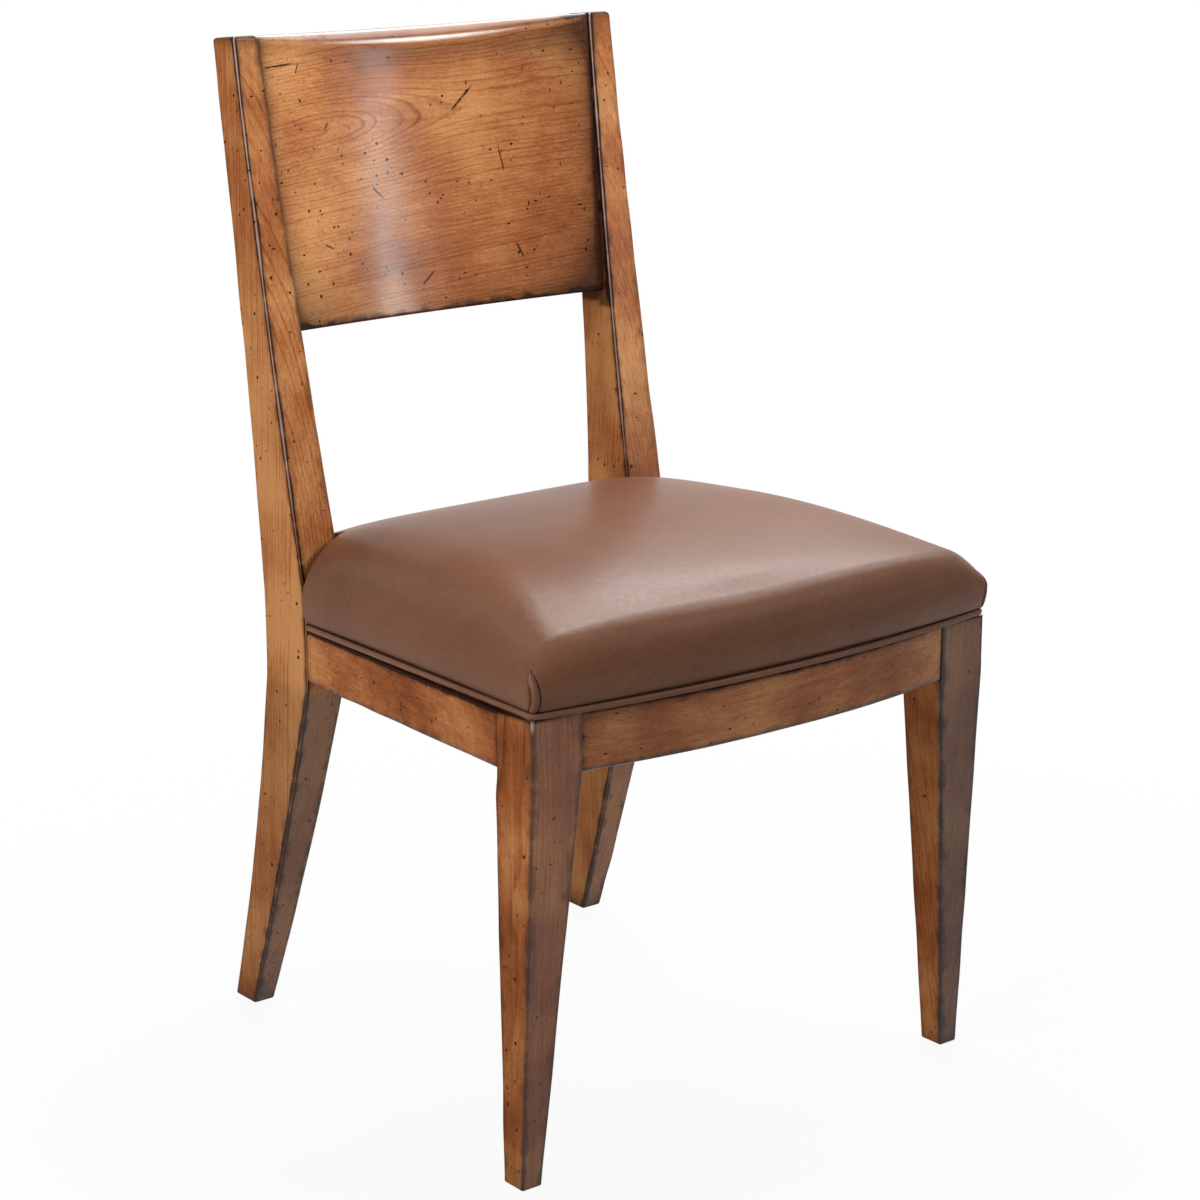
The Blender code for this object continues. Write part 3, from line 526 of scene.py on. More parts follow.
def rail_loops(face, back_face, height, polish, seed):
    """Loops of a rail from the (x, depth) lines of its shown face and its back, one loop per point.

    Within a loop the first direction runs from the shown face to the back, the second runs up."""
    rows = len(face)
    width = np.linalg.norm(back_face - face, axis=1)
    zero, tall = np.zeros(rows), np.full(rows, height)
    track = np.concatenate((face, np.full((rows, 1), seed)), axis=1)
    low_ease = wavering(RAIL_LOWER_EASE, track, *RAIL_WAVER, seed)
    top_ease = np.full(rows, RAIL_EASE)
    loop = rounded_loop(zero, width, zero, tall, (low_ease, low_ease, top_ease, top_ease))
    edge = edge_distance(loop, zero, width, zero, tall)
    share = loop[..., :1] / width[:, None, None]
    plan = face[:, None] + (back_face - face)[:, None] * share
    level = RAIL_TOP - SEAT_SLOPE * plan[..., 1] - height + loop[..., 1]
    points = rubbed(np.concatenate((plan, level[..., None]), axis=-1), *RAIL_RUB, seed + 1)
    run = np.linalg.norm(face - face[:1], axis=1)
    ends = np.minimum(run, run[-1] - run)[:, None]
    lower_edge = 1 - smooth(loop[..., 0] + loop[..., 1], *LOWER_EDGE)
    # Painted shadow under the welt along the rail's top.
    top = welt_shadow(height - loop[..., 1])
    glaze_and_shade = top + fading(ends, *RAIL_END_GLAZE) + LOWER_EDGE_GLAZE * lower_edge
    face_polish = polish * fading(loop[..., 0], FACE_FADE) * (1 - top)
    return in_frame(points), {
        "edge": np.minimum(edge, np.maximum(ends, RAIL_END_EDGE)), "glaze_and_shade": np.clip(glaze_and_shade, 0, 1),
        "polish": np.clip(face_polish + LOWER_EDGE_POLISH * lower_edge, 0, 1)}


print("side rails start", round(rail_outer(LEG_TOP_DEPTH), 4), "m from the middle")

# %% [markdown]
# What differs from rail to rail is only its plan: the lines of its shown face and of its back, from one
# end to the other.

# %% Lines of the rails
def front_rail_lines():
    """Shown face and back of the front rail: a parabola that bows forward, and a straight line."""
    half = FRONT_SPAN / 2 - LEG_TOP_WIDTH - GAP
    across = np.linspace(-half, half, RAIL_ROWS)
    face = np.stack((across, RAIL_INSET - FRONT_BOW * (1 - (across / half) ** 2)), axis=-1)
    return face, np.stack((across, np.full_like(across, RAIL_THICKNESS)), axis=-1)


def rear_rail_lines():
    """Shown face and back of the rear rail, two straight lines between the posts."""
    half = POST_INNER - GAP
    across = np.linspace(-half, half, RAIL_ROWS)
    face = np.stack((across, np.full_like(across, REAR_EDGE)), axis=-1)
    return face, face - (0, RAIL_THICKNESS)


def side_rail_lines(side):
    """Shown face and back of a side rail, two slanting lines from the leg to the post."""
    back = np.linspace(LEG_TOP_DEPTH + GAP, SEAT_DEPTH - GAP, RAIL_ROWS)
    slant = np.arctan2((FRONT_SPAN - REAR_SPAN) / 2, SEAT_DEPTH - LEG_TOP_DEPTH)
    outer = rail_outer(back)
    inner = outer - RAIL_THICKNESS / np.cos(slant)
    return np.stack((side * outer, back), axis=-1), np.stack((side * inner, back), axis=-1)


# Each rail: the lines of its face and back, its height, the polish of its face and its seed.
rails = {
    "front_rail": (*front_rail_lines(), FRONT_RAIL_HEIGHT, 0.38, 53),
    "rear_rail": (*rear_rail_lines(), RAIL_HEIGHT, 0.2, 59),
    "side_rail_left": (*side_rail_lines(-1.0), RAIL_HEIGHT, 0.0, 61),
    "side_rail_right": (*side_rail_lines(1.0), RAIL_HEIGHT, 0.0, 67),
}
rail_pieces = {}
for rail_name, description in rails.items():
    rail_pieces[rail_name] = add_loops(f"seat_{rail_name}", *rail_loops(*description))
    settle(rail_pieces[rail_name], "rail_cherry", rail_name)

# %% [markdown]
# ## Back panel
# The panel is a board hollowed to a shallow cylinder that leans with the posts, and its top front edge
# is rolled over, more in the middle than at the ends. Its upright section is a closed loop of points
# (run up the lean, depth), and the section is carried across from post to post while the hollow moves
# it back.

# %% Back panel
PANEL_THICKNESS = 0.020
PANEL_HOLLOW = 0.0215
PANEL_RECESS_LOW = 0.010
PANEL_RECESS_TOP = 0.003
PANEL_EASE = 0.0026
ROLL_HEIGHTS = (0.0175, 0.005)
ROLL_DEPTHS = (0.0155, 0.005)
PANEL_COLUMNS = 220
PANEL_POINTS = (110, 40, 7)
EASE_POINTS, ROLL_POINTS = 7, 16
COLUMN_TURN = np.pi / 2 * 0.96
PANEL_WAVE, PANEL_WAVE_SIZE, PANEL_SEED = 0.00025, 0.09, 71


def panel_frame():
    """Foot of the panel's lean as (depth, height), its direction and the length along it."""
    low = np.array((post_faces(np.array(PANEL_LOW))[0] + PANEL_RECESS_LOW, PANEL_LOW))
    high = np.array((post_faces(np.array(HEIGHT))[0] + PANEL_RECESS_TOP, HEIGHT))
    length = np.linalg.norm(high - low)
    return low, (high - low) / length, length


def quarter(run, depth, run_reach, depth_reach, count, along_first):
    """Quarter ellipse from (run, depth) that reaches run_reach and depth_reach further.

    It sets off along the run when along_first is true, and across it otherwise."""
    turn = np.linspace(0, np.pi / 2, count)
    early, late = np.sin(turn), 1 - np.cos(turn)
    run_share, depth_share = (early, late) if along_first else (late, early)
    return run + run_reach * run_share, depth + depth_reach * depth_share


def panel_sections(share, length):
    """Closed (run, depth) sections for an array of shares, 0 in the middle and 1 at a post.

    A section goes up the front face, over the rolled edge, down the back and along the lower edge."""
    lean = np.abs(share)[:, None] ** 2
    roll_height, roll_depth = (mid + (end - mid) * lean for mid, end in (ROLL_HEIGHTS, ROLL_DEPTHS))
    shoulder = length - roll_height
    ease, inner_back = PANEL_EASE, PANEL_THICKNESS - PANEL_EASE
    fine, coarse, few = (np.linspace(0, 1, count)[1:-1] for count in PANEL_POINTS)
    strokes = (
        quarter(0, ease, ease, -ease, EASE_POINTS, False),
        (ease + (shoulder - ease) * fine, 0),
        quarter(shoulder, 0, roll_height, roll_depth, ROLL_POINTS, True),
        (length, roll_depth + (inner_back - roll_depth) * few),
        quarter(length, inner_back, -ease, ease, EASE_POINTS, False),
        (length - ease - (length - 2 * ease) * coarse, PANEL_THICKNESS),
        quarter(ease, PANEL_THICKNESS, -ease, -ease, EASE_POINTS, True),
        (0, inner_back - (inner_back - ease) * few),
    )
    blank = np.zeros((len(share), 1))
    runs = [blank + run + 0 * np.asarray(depth) for run, depth in strokes]
    depths = [blank + depth + 0 * np.asarray(run) for run, depth in strokes]
    return np.concatenate(runs, axis=1), np.concatenate(depths, axis=1), shoulder


def panel_loops():
    """Loops of the panel from post to post, and the marks of its finish.

    The hollow moves a section back by PANEL_HOLLOW * (1 - share^2), square to the lean."""
    base, lean, length = panel_frame()
    share = np.sin(np.linspace(-1, 1, PANEL_COLUMNS) * COLUMN_TURN) / np.sin(COLUMN_TURN)
    run, depth, shoulder = panel_sections(share, length)
    moved = depth + PANEL_HOLLOW * (1 - share ** 2)[:, None]
    back = base[0] + lean[0] * run + lean[1] * moved
    level = base[1] + lean[1] * run
    across = share[:, None] * (post_faces(level)[2] - GAP)
    points = np.stack((across, back, level - lean[0] * moved), axis=-1)
    points[..., 1] += PANEL_WAVE * unevenness(points, PANEL_WAVE_SIZE, PANEL_SEED)
    marks = panel_marks(share[:, None], run, depth, shoulder)
    ends = np.minimum(np.abs(run), np.abs(length - run))
    marks["edge"] = np.minimum(ends + np.minimum(depth, PANEL_THICKNESS - depth), EDGE_MOST)
    return in_frame(points), marks


print("panel:", round(float(panel_frame()[2]), 4), "m up its lean")

# %% [markdown]
# On the panel the glaze stays in the joints at the posts, along the foot and below the roll. Painted
# shade makes it darker towards the right and on the crest, and painted light makes the left end lighter
# and the rest darker.

# %% Marks on the panel
FACE_DEPTH = 0.004
JOINT_LINE, JOINT_RIGHT, JOINT_LEFT = (0.004, 0.95), (0.030, 0.55), (0.012, 0.35)
FOOT_LINE, FOOT_RIGHT = (0.007, 0.5), (0.03, 0.4)
CORNER_REACH, CORNER_POWERS = 0.05, (1.5, 1.2)
CORNER_RIGHT, CORNER_LEFT = 0.5, 0.7
ROLL_LINE_BELOW, ROLL_LINE_WIDTH, ROLL_LINE_MORE = 0.003, 0.006, 0.022
ROLL_GLAZE, ROLL_SHADE_RIGHT = 0.25, 0.40
CREST_RISE, CREST_SHADE, CREST_POLISH = 0.005, 0.5, 0.60
PANEL_POLISH = 0.16
PALE_END, PALE_MOST, PALE_LEAST = (0.35, 0.8), 1.1, 0.5
EDGE_MOST = 0.05


def panel_marks(share, run, depth, shoulder):
    """Dark glaze at the posts, along the foot and below the roll, painted shade that grows to the right and
    darkens the crest, polish on the crest, and painted light: lighter at the left end, darker elsewhere."""
    right, left, rightward = share > 0, share < 0, (1 + share) / 2
    end = (1 - np.abs(share)) * POST_INNER
    # Glaze in the joints at the posts; the wider, stronger band at the right post is painted shade.
    joint = fading(end, *JOINT_LINE) + right * fading(end, *JOINT_RIGHT) + left * fading(end, *JOINT_LEFT)
    low_power, end_power = CORNER_POWERS
    corner = fading((np.abs(run) / CORNER_REACH) ** low_power + (end / CORNER_REACH) ** end_power, 1)
    # Glaze along the foot, with painted shade that grows towards the right.
    foot = fading(run, *FOOT_LINE) + rightward * fading(run, *FOOT_RIGHT)
    foot = foot + (right * CORNER_RIGHT + left * CORNER_LEFT) * corner
    line_width = np.where(run < shoulder, ROLL_LINE_WIDTH + ROLL_LINE_MORE * rightward, ROLL_LINE_BELOW)
    below_roll = bell(run - shoulder + ROLL_LINE_BELOW, line_width) * np.clip(1 - depth / FACE_DEPTH, 0, 1)
    crest = smooth(run, shoulder, shoulder + CREST_RISE)
    # Glaze below the roll, painted shade that grows towards the right, and painted shade on the crest.
    roll = below_roll * (ROLL_GLAZE + ROLL_SHADE_RIGHT * rightward) + CREST_SHADE * crest
    # Painted light on the left end, painted shade on the middle and the right.
    pale = np.broadcast_to(PALE_MOST * smooth(-share, *PALE_END) - PALE_LEAST, run.shape)
    return {"glaze_and_shade": np.clip(joint + foot + roll, 0, 1), "polish": PANEL_POLISH + CREST_POLISH * crest,
            "pale": pale, "depth": depth}


panel = add_loops("panel", *panel_loops())
settle(panel, "panel_cherry", "back_panel")

# %% [markdown]
# ## Seat outline
# The seat is a trapezoid with a bowed front and two rounded front corners. One function gives its plan
# for shares across and along, at any distance inside or outside the outline, so that the welt, the
# cushion's sides and its crown all come from the same shape. The corners are rounded by the elliptical
# map from a square to a disc, which keeps the grid's lines in order.

# %% Seat outline
SEAT_OVERHANG = 0.001
SEAT_BOW = 0.026
SEAT_CORNER = 0.007
COVER_BULGE = 0.003


def seat_half(depth, inset):
    """Half width of the seat at a depth, drawn in by inset."""
    return FRONT_SPAN / 2 + (REAR_SPAN - FRONT_SPAN) / 2 * depth / SEAT_DEPTH + SEAT_OVERHANG - inset


def seat_plan(across, along, inset):
    """Plan of the seat for shares across (-1 to 1) and along (0 at the front to 1 at the rear).

    Near a front corner, with p and q the shares of the corner's radius left to the side and to the
    front, the point moves to p * sqrt(1 - q^2 / 2) and q * sqrt(1 - p^2 / 2). The radius changes with the
    inset, as it does on parallel curves."""
    corner = SEAT_CORNER - inset
    front = -SEAT_BOW * (1 - across ** 2) - SEAT_OVERHANG + inset
    rear = REAR_EDGE - COVER_BULGE - inset
    from_front = (rear - front) * along
    from_side = (1 - np.abs(across)) * seat_half(front + from_front, inset)
    p = np.clip(1 - from_side / corner, 0, 1)
    q = np.clip(1 - from_front / corner, 0, 1)
    from_side = np.where(p > 0, corner * (1 - p * np.sqrt(1 - q ** 2 / 2)), from_side)
    from_front = np.where(q > 0, corner * (1 - q * np.sqrt(1 - p ** 2 / 2)), from_front)
    depth = front + from_front
    return np.sign(across) * (seat_half(depth, inset) - from_side), depth


def seat_level(depth):
    """Height of the plane that the seat rests on, which falls towards the back."""
    return RAIL_TOP - SEAT_SLOPE * depth


print("seat:", round(2 * seat_half(0, 0), 4), "m wide at the front")

# %% [markdown]
# ## Welt
# A cord covered with the same leather closes the joint between cushion and rails. It starts at one
# post, runs along the side, round the front and back to the other post. A circle is carried along that
# path. Its size wavers a little, because the leather is folded round the cord by hand.

# %% Welt
WELT_RADIUS = 0.0032
WELT_RISE = 0.0035
POST_CLEARANCE = 0.0008
PATH_POINTS = 4000
WELT_ROWS = 620
WELT_COLUMNS = 20
WELT_WAVER, WELT_SEED = (0.05, 0.03), 83
WELT_CREASE_SHADE, WELT_POLISH = (0.70, 0.97), 0.5


def welt_path():
    """Points (x, depth) along the outline from the left post round the front to the right post."""
    walk = np.linspace(0, 1, PATH_POINTS)
    side_end = (SEAT_DEPTH - POST_CLEARANCE) / (REAR_EDGE - COVER_BULGE)
    along = np.concatenate((side_end * (1 - walk), np.zeros_like(walk), side_end * walk))
    across = np.concatenate((-np.ones_like(walk), 2 * walk - 1, np.ones_like(walk)))
    line = np.stack(seat_plan(across, along, WELT_RADIUS), axis=-1)
    line[:, 1] = np.minimum(line[:, 1], SEAT_DEPTH - POST_CLEARANCE)
    length = np.concatenate(([0], np.cumsum(np.linalg.norm(np.diff(line, axis=0), axis=1))))
    even = np.linspace(0, length[-1], WELT_ROWS)
    return np.stack([np.interp(even, length, line[:, axis]) for axis in (0, 1)], axis=-1)


def welt_loops():
    """Circles across the path: centre + radius * (outward * cos + up * sin)."""
    path = welt_path()
    tangent = np.gradient(path, axis=0)
    tangent /= np.linalg.norm(tangent, axis=1, keepdims=True)
    outward = np.stack((tangent[:, 1], -tangent[:, 0]), axis=-1)
    track = np.concatenate((path, np.zeros((len(path), 1))), axis=1)
    radius = wavering(WELT_RADIUS, track, *WELT_WAVER, WELT_SEED)
    turn = np.linspace(0, 2 * np.pi, WELT_COLUMNS, endpoint=False)
    reach = radius[:, None] * np.cos(turn)
    plan = path[:, None] + outward[:, None] * reach[..., None]
    level = seat_level(path[:, 1])[:, None] + WELT_RISE + radius[:, None] * np.sin(turn)
    points = np.concatenate((plan, level[..., None]), axis=-1)
    # Painted shade along the top and the bottom of the cord, where it meets the cushion and the rails.
    crease_shade = smooth(np.abs(np.sin(turn)), *WELT_CREASE_SHADE) * np.ones_like(reach)
    return in_frame(points), {"crease_shade": crease_shade, "polish": WELT_POLISH * (1 - crease_shade)}


welt = add_loops("seat_piping", *welt_loops())
settle(welt, "welt_leather", "seat_welt")

# %% [markdown]
# ## Cushion
# Leather is pulled over foam on a board, so the top is crowned, the sides stand out over the welt and
# the front corners are folded. The form starts as a grid over the top with a skirt below it, a little
# flatter than the finished seat. A short cloth simulation with pressure then swells it.

# %% Cushion form
WELT_TOP = 0.007
COVER_TUCK = 0.0012
MIDDLE_TUCK = 0.0028
COVER_SHOULDER = 0.028
EDGE_ROLL = 0.0366
FRONT_ROLL, SIDE_ROLL, REAR_ROLL = 0.0255, 0.075, 0.030
CORNER_TIGHT, CORNER_FALL, POST_TIGHT = 0.5, 0.28, 0.35
CORNER_SHARE, POST_SHARE, CORNER_POWER = (0.0, 0.4), (0.7, 0.95), 4
DOME = 0.0381
DOME_SIDE, DOME_FRONT, DOME_REAR = 6.0, 1.93, 3.85
SKIRT_POWER = 0.7
EDGE_CROWDING = 1.8, 2.2


def crowded(count, power):
    """Shares from -1 to 1 that stand closer together towards both ends."""
    even = np.linspace(-1, 1, count)
    return np.sign(even) * (1 - (1 - np.abs(even)) ** power)


def rolled(distance, reach):
    """Quarter of an ellipse: upright at the edge and level at a distance of reach."""
    return np.sqrt(1 - np.clip(1 - distance / reach, 0, 1) ** 2)


def cushion_top(across, along, dome):
    """Top of the cushion: the seat plan, raised by an edge that rolls over and by a shallow dome."""
    x, depth = seat_plan(across, along, -COVER_BULGE)
    length = REAR_EDGE + SEAT_BOW * (1 - across ** 2)
    from_side = (1 - np.abs(across)) * (FRONT_SPAN + REAR_SPAN) / 4
    to_front = 1 - smooth(along, *CORNER_SHARE)
    side_roll = SIDE_ROLL * (1 - CORNER_TIGHT * to_front - POST_TIGHT * smooth(along, *POST_SHARE))
    edge = rolled(along * length, FRONT_ROLL) * rolled((1 - along) * length, REAR_ROLL)
    edge = edge * rolled(from_side, side_roll) * (1 - CORNER_FALL * to_front * across ** CORNER_POWER)
    sharpness = np.where(along < 0.5, DOME_FRONT, DOME_REAR)
    bulge = (1 - np.abs(across) ** DOME_SIDE) * (1 - np.abs(2 * along - 1) ** sharpness)
    height = seat_level(depth) + COVER_SHOULDER + EDGE_ROLL * edge + dome * bulge
    return np.stack((x, depth, height), axis=-1)


def cushion_skirt(across, along, up):
    """Side of the cushion below the shoulder, leaning out from a tuck at the welt to its full bulge."""
    fullness = 1 - across ** 2 + 4 * along * (1 - along)
    tuck = COVER_TUCK + MIDDLE_TUCK * fullness
    inset = tuck - (tuck + COVER_BULGE) * np.sin(up * np.pi / 2) ** SKIRT_POWER
    x, depth = seat_plan(across, along, inset)
    base = np.where(along == 1, GAP, WELT_TOP)
    return np.stack((x, depth, seat_level(depth) + base + up * (COVER_SHOULDER - base)), axis=-1)


def cushion_grids(columns, rows, levels, dome):
    """The top grid and the skirt's four grids: front, right, rear and left, in walking order."""
    across = crowded(columns, EDGE_CROWDING[0])
    along = (crowded(rows, EDGE_CROWDING[1]) + 1) / 2
    top = cushion_top(*np.meshgrid(across, along), dome)
    up = np.linspace(0, 1, levels)[:-1, None]
    side, rear = np.ones(rows), np.ones(columns)
    walks = ((across, 0 * across), (side, along), (across[::-1], rear), (-side, along[::-1]))
    return top, [cushion_skirt(*walk, up) for walk in walks]


def cushion_mesh(top, skirt):
    """Points of a top grid with a skirt hung from its border, faces of both, and the skirt's indices."""
    rows, columns = top.shape[:2]
    index = np.arange(rows * columns).reshape(rows, columns)
    corners = (index[:-1, :-1], index[:-1, 1:], index[1:, 1:], index[1:, :-1])
    quads = np.stack(corners, axis=-1).reshape(-1, 4)
    border = np.concatenate((index[0, :-1], index[:-1, -1], index[-1, :0:-1], index[:0:-1, 0]))
    side = np.concatenate([part[:, :-1] for part in skirt], axis=1)
    levels, around = side.shape[:2]
    hung = rows * columns + np.arange(levels * around).reshape(levels, around)
    points = np.concatenate((top.reshape(-1, 3), side.reshape(-1, 3)))
    return points, quads, ring_quads(np.concatenate((hung, border[None]))), hung


print("cushion: crown", round(COVER_SHOULDER + EDGE_ROLL + DOME, 4), "m above the rails")

# %% [markdown]
# The simulation works on a coarse grid. Its two lowest rows are held, because the leather is stapled
# there, and so is everything in the two notches round the posts. What matters is how far each point
# moves, so those moves are limited and then carried to a much finer grid by cubic interpolation.

# %% Swell the cushion
COARSE = (71, 67, 8)
START_DOME = DOME - 0.0007
SWELL_PRESSURE = 1.5
SWELL_FRAMES = 20
HELD_REACH, HELD_ROWS = 0.004, 2
STRETCH_STIFFNESS, SHEAR_STIFFNESS, BEND_STIFFNESS = 40, 20, 4


def in_notches(points):
    """Whether each point lies in the notches round the posts, or within HELD_REACH of them."""
    aside = np.maximum(POST_INNER - POST_CLEARANCE - np.abs(points[..., 0]), 0)
    ahead = np.maximum(SEAT_DEPTH - POST_CLEARANCE - points[..., 1], 0)
    return np.hypot(aside, ahead) < HELD_REACH


def simulate_swelling(points, faces, held):
    """Run Blender's cloth with pressure and no gravity and return how far each point moved."""
    mesh = bpy.data.meshes.new("swelling")
    mesh.from_pydata(points.tolist(), [], faces.tolist())
    pad = bpy.data.objects.new("swelling", mesh)
    bpy.context.scene.collection.objects.link(pad)
    pad.vertex_groups.new(name="held").add(np.flatnonzero(held).tolist(), 1.0, "REPLACE")
    cloth = pad.modifiers.new("leather", "CLOTH")
    settings = cloth.settings
    settings.vertex_group_mass = "held"
    settings.use_pressure = True
    settings.uniform_pressure_force = SWELL_PRESSURE
    settings.tension_stiffness = settings.compression_stiffness = STRETCH_STIFFNESS
    settings.shear_stiffness = SHEAR_STIFFNESS
    settings.bending_stiffness = BEND_STIFFNESS
    settings.effector_weights.gravity = 0
    cloth.point_cache.frame_end = SWELL_FRAMES
    for step in range(1, SWELL_FRAMES + 1):
        bpy.context.scene.frame_set(step)
    swollen = pad.evaluated_get(bpy.context.evaluated_depsgraph_get()).data
    result = np.empty(len(points) * 3, np.float32)
    swollen.vertices.foreach_get("co", result)
    bpy.context.scene.frame_set(1)
    bpy.data.objects.remove(pad)
    bpy.data.meshes.remove(mesh)
    return result.reshape(-1, 3) - points


# %% [markdown]
# Neighbours are averaged a few times, so that only broad swelling stays. The fine grid has the same
# walks as the coarse one, so a matrix of cubic weights for each direction carries the moves over.

# %% Carry the moves to the fine grid
FINE = (241, 221, 26)
SWELL_CAP = 0.006
CALM_PASSES = 14


def cubic_weights(fine, coarse):
    """Matrix that carries values at evenly counted places to fine ones by Catmull-Rom cubics."""
    place = np.linspace(0, coarse - 1, fine)
    start = np.clip(np.floor(place).astype(int), 0, coarse - 2)
    t = place - start
    square, cube = t ** 2, t ** 3
    weights = np.stack((
        -t + 2 * square - cube, 2 - 5 * square + 3 * cube, t + 4 * square - 3 * cube, cube - square)) / 2
    matrix = np.zeros((fine, coarse))
    columns = np.clip(start + np.arange(-1, 3)[:, None], 0, coarse - 1)
    np.add.at(matrix, (np.broadcast_to(np.arange(fine), columns.shape), columns), weights)
    return matrix


def calmed(grid, wrap=False):
    """Average each point with its four neighbours a few times, so that only broad moves stay."""
    for _ in range(CALM_PASSES):
        wide = np.pad(grid, ((1, 1), (0, 0), (0, 0)), mode="edge")
        wide = np.pad(wide, ((0, 0), (1, 1), (0, 0)), mode="wrap" if wrap else "edge")
        near = wide[:-2, 1:-1] + wide[2:, 1:-1] + wide[1:-1, :-2] + wide[1:-1, 2:]
        grid = grid / 3 + near / 6
    return grid


def cushion_moves():
    """Capped moves of the coarse cushion, as a top grid and four skirt grids, on the fine grids.

    A move of length d is shortened to SWELL_CAP * tanh(d / SWELL_CAP)."""
    top, skirt = cushion_grids(*COARSE, START_DOME)
    points, quads, wall, hung = cushion_mesh(top, skirt)
    held = in_notches(points)
    held[hung[:HELD_ROWS].ravel()] = True
    moves = simulate_swelling(points, np.concatenate((quads, wall)), held)
    length = np.linalg.norm(moves, axis=1, keepdims=True)
    moves *= SWELL_CAP * np.tanh(length / SWELL_CAP) / np.maximum(length, 1e-9)
    print("cushion swelled by", round(float(length.mean()) * 1000, 2), "mm on average, at most",
          round(float(length.max()) * 1000, 2))
    columns, rows, levels = (cubic_weights(fine, coarse) for fine, coarse in zip(FINE, COARSE))
    grid = calmed(moves[:top.shape[0] * top.shape[1]].reshape(top.shape))
    borders = (grid[0], grid[:, -1], grid[-1, ::-1], grid[::-1, 0])
    loop = calmed(moves[hung], wrap=True)
    fine_skirt, first = [], 0
    for part, border, walk in zip(skirt, borders, (columns, rows, columns, rows)):
        places = np.arange(first, first + part.shape[1])
        side = np.concatenate((np.take(loop, places, axis=1, mode="wrap"), border[None]))
        fine_skirt.append(np.einsum("li,cj,ijk->lck", levels, walk, side)[:-1])
        first += part.shape[1] - 1
    return np.einsum("ri,cj,ijk->rck", rows, columns, grid), fine_skirt


# %% [markdown]
# The folds are worked in after the simulation, because they are finer than its grid. At each front
# corner the spare leather is laid into one upright pleat, a slim half-round fold between two grooves,
# with one rim that is rubbed bright. The base is closed by flat faces, so that the cover is a solid
# form. Last, the notches round the posts are cut out.

# %% Fold and trim the cushion
CORNER_CENTRE = 0.004
CORNER_PULL, PULL_RISE, PULL_REACH = 0.002, (0.008, 0.034), 0.020
PLEAT_TALL = 0.034
PLEAT_HALF = 0.0030
PLEAT_RISE = 0.0010
PLEAT_GROOVE = 0.0014
PLEAT_LEAN = 0.0062
PLEAT_CLOSING, PLEAT_CLOSED = (0.70, 1.0), 0.999
PLEAT_SWING = (0.18, 0.82)
PLEAT_WITHIN = (-0.020, -0.008)
GROOVE_PLACE, GROOVE_WIDTH = 1.25, 0.32
RIM_PLACE, RIM_WIDTH, RIM_RISE = -0.8, 0.35, (0.2, 0.9)
NOTCH_BELOW, NOTCH_BEHIND = 0.02, 0.05
BOX_FACES = np.array([
    (0, 1, 3, 2), (4, 6, 7, 5), (0, 4, 5, 1), (2, 3, 7, 6), (0, 2, 6, 4), (1, 5, 7, 3)])
BASE_SHARE = 0.9


def above_welt(points):
    """Height of points above the top of the welt."""
    return points[..., 2] - seat_level(points[..., 1]) - WELT_TOP


def pleat_places(points):
    """Distance round the corner (towards the front), distance out of it and height above the welt."""
    corner = np.array((FRONT_SPAN / 2 - CORNER_CENTRE, CORNER_CENTRE))
    offset = np.stack((np.abs(points[..., 0]), points[..., 1]), axis=-1) - corner
    outward = np.array((1.0, -1.0)) / np.sqrt(2)
    round_corner = -(offset @ np.array((1.0, 1.0)) / np.sqrt(2))
    return round_corner, offset @ outward, above_welt(points)


def fold_corners(points):
    """Round the corner's shoulder, then raise a half-round fold with a groove on either side of it.

    Gives the moved points, the share of each in the groove towards the front, and its share in the
    fold's rubbed rim."""
    walk, out, rise = pleat_places(points)
    rounding = CORNER_PULL * smooth(rise, *PULL_RISE) ** 2
    rounding = rounding * np.exp(-(walk ** 2 + out ** 2) / PULL_REACH ** 2)
    share = np.clip(rise / PLEAT_TALL, 0, 1)
    half = PLEAT_HALF * np.sqrt(1 - PLEAT_CLOSED * smooth(share, *PLEAT_CLOSING))
    start, swing = PLEAT_SWING
    middle = PLEAT_LEAN * np.sin(np.pi * (start + swing * share)) - PLEAT_HALF
    across = (walk - middle) / half
    within = smooth(out, *PLEAT_WITHIN) * (share < 1)
    fold = np.sqrt(np.clip(1 - across ** 2, 0, 1))
    groove = bell(np.abs(across) - GROOVE_PLACE, GROOVE_WIDTH)
    push = within * (PLEAT_RISE * fold - PLEAT_GROOVE * groove) - rounding
    outward = np.stack((np.sign(points[..., 0]), -np.ones_like(push), 0 * push), axis=-1) / np.sqrt(2)
    rim = within * bell(across - RIM_PLACE, RIM_WIDTH) * smooth(share, *RIM_RISE)
    return points + push[..., None] * outward, within * groove * (across > 0), rim


def cut_notches(piece):
    """Cut the two notches round the posts with exact booleans and bake the result into the mesh."""
    inner, outer = POST_INNER - POST_CLEARANCE, FRONT_SPAN / 2
    ahead, behind = SEAT_DEPTH - POST_CLEARANCE, REAR_EDGE + NOTCH_BEHIND
    low, high = seat_level(REAR_EDGE) - NOTCH_BELOW, RAIL_TOP + COVER_SHOULDER + EDGE_ROLL + DOME
    for side in SIDES.values():
        corners = np.array([
            (side * x, y + FRONT, z) for x in (inner, outer) for y in (ahead, behind) for z in (low, high)])
        cutter = add_mesh("notch", corners, [BOX_FACES], {})
        notch = piece.modifiers.new("notch", "BOOLEAN")
        notch.operation, notch.solver, notch.object = "DIFFERENCE", "EXACT", cutter
        cut = bpy.data.meshes.new_from_object(piece.evaluated_get(bpy.context.evaluated_depsgraph_get()))
        old, piece.data = piece.data, cut
        piece.modifiers.clear()
        bpy.data.meshes.remove(old)
        bpy.data.objects.remove(cutter)


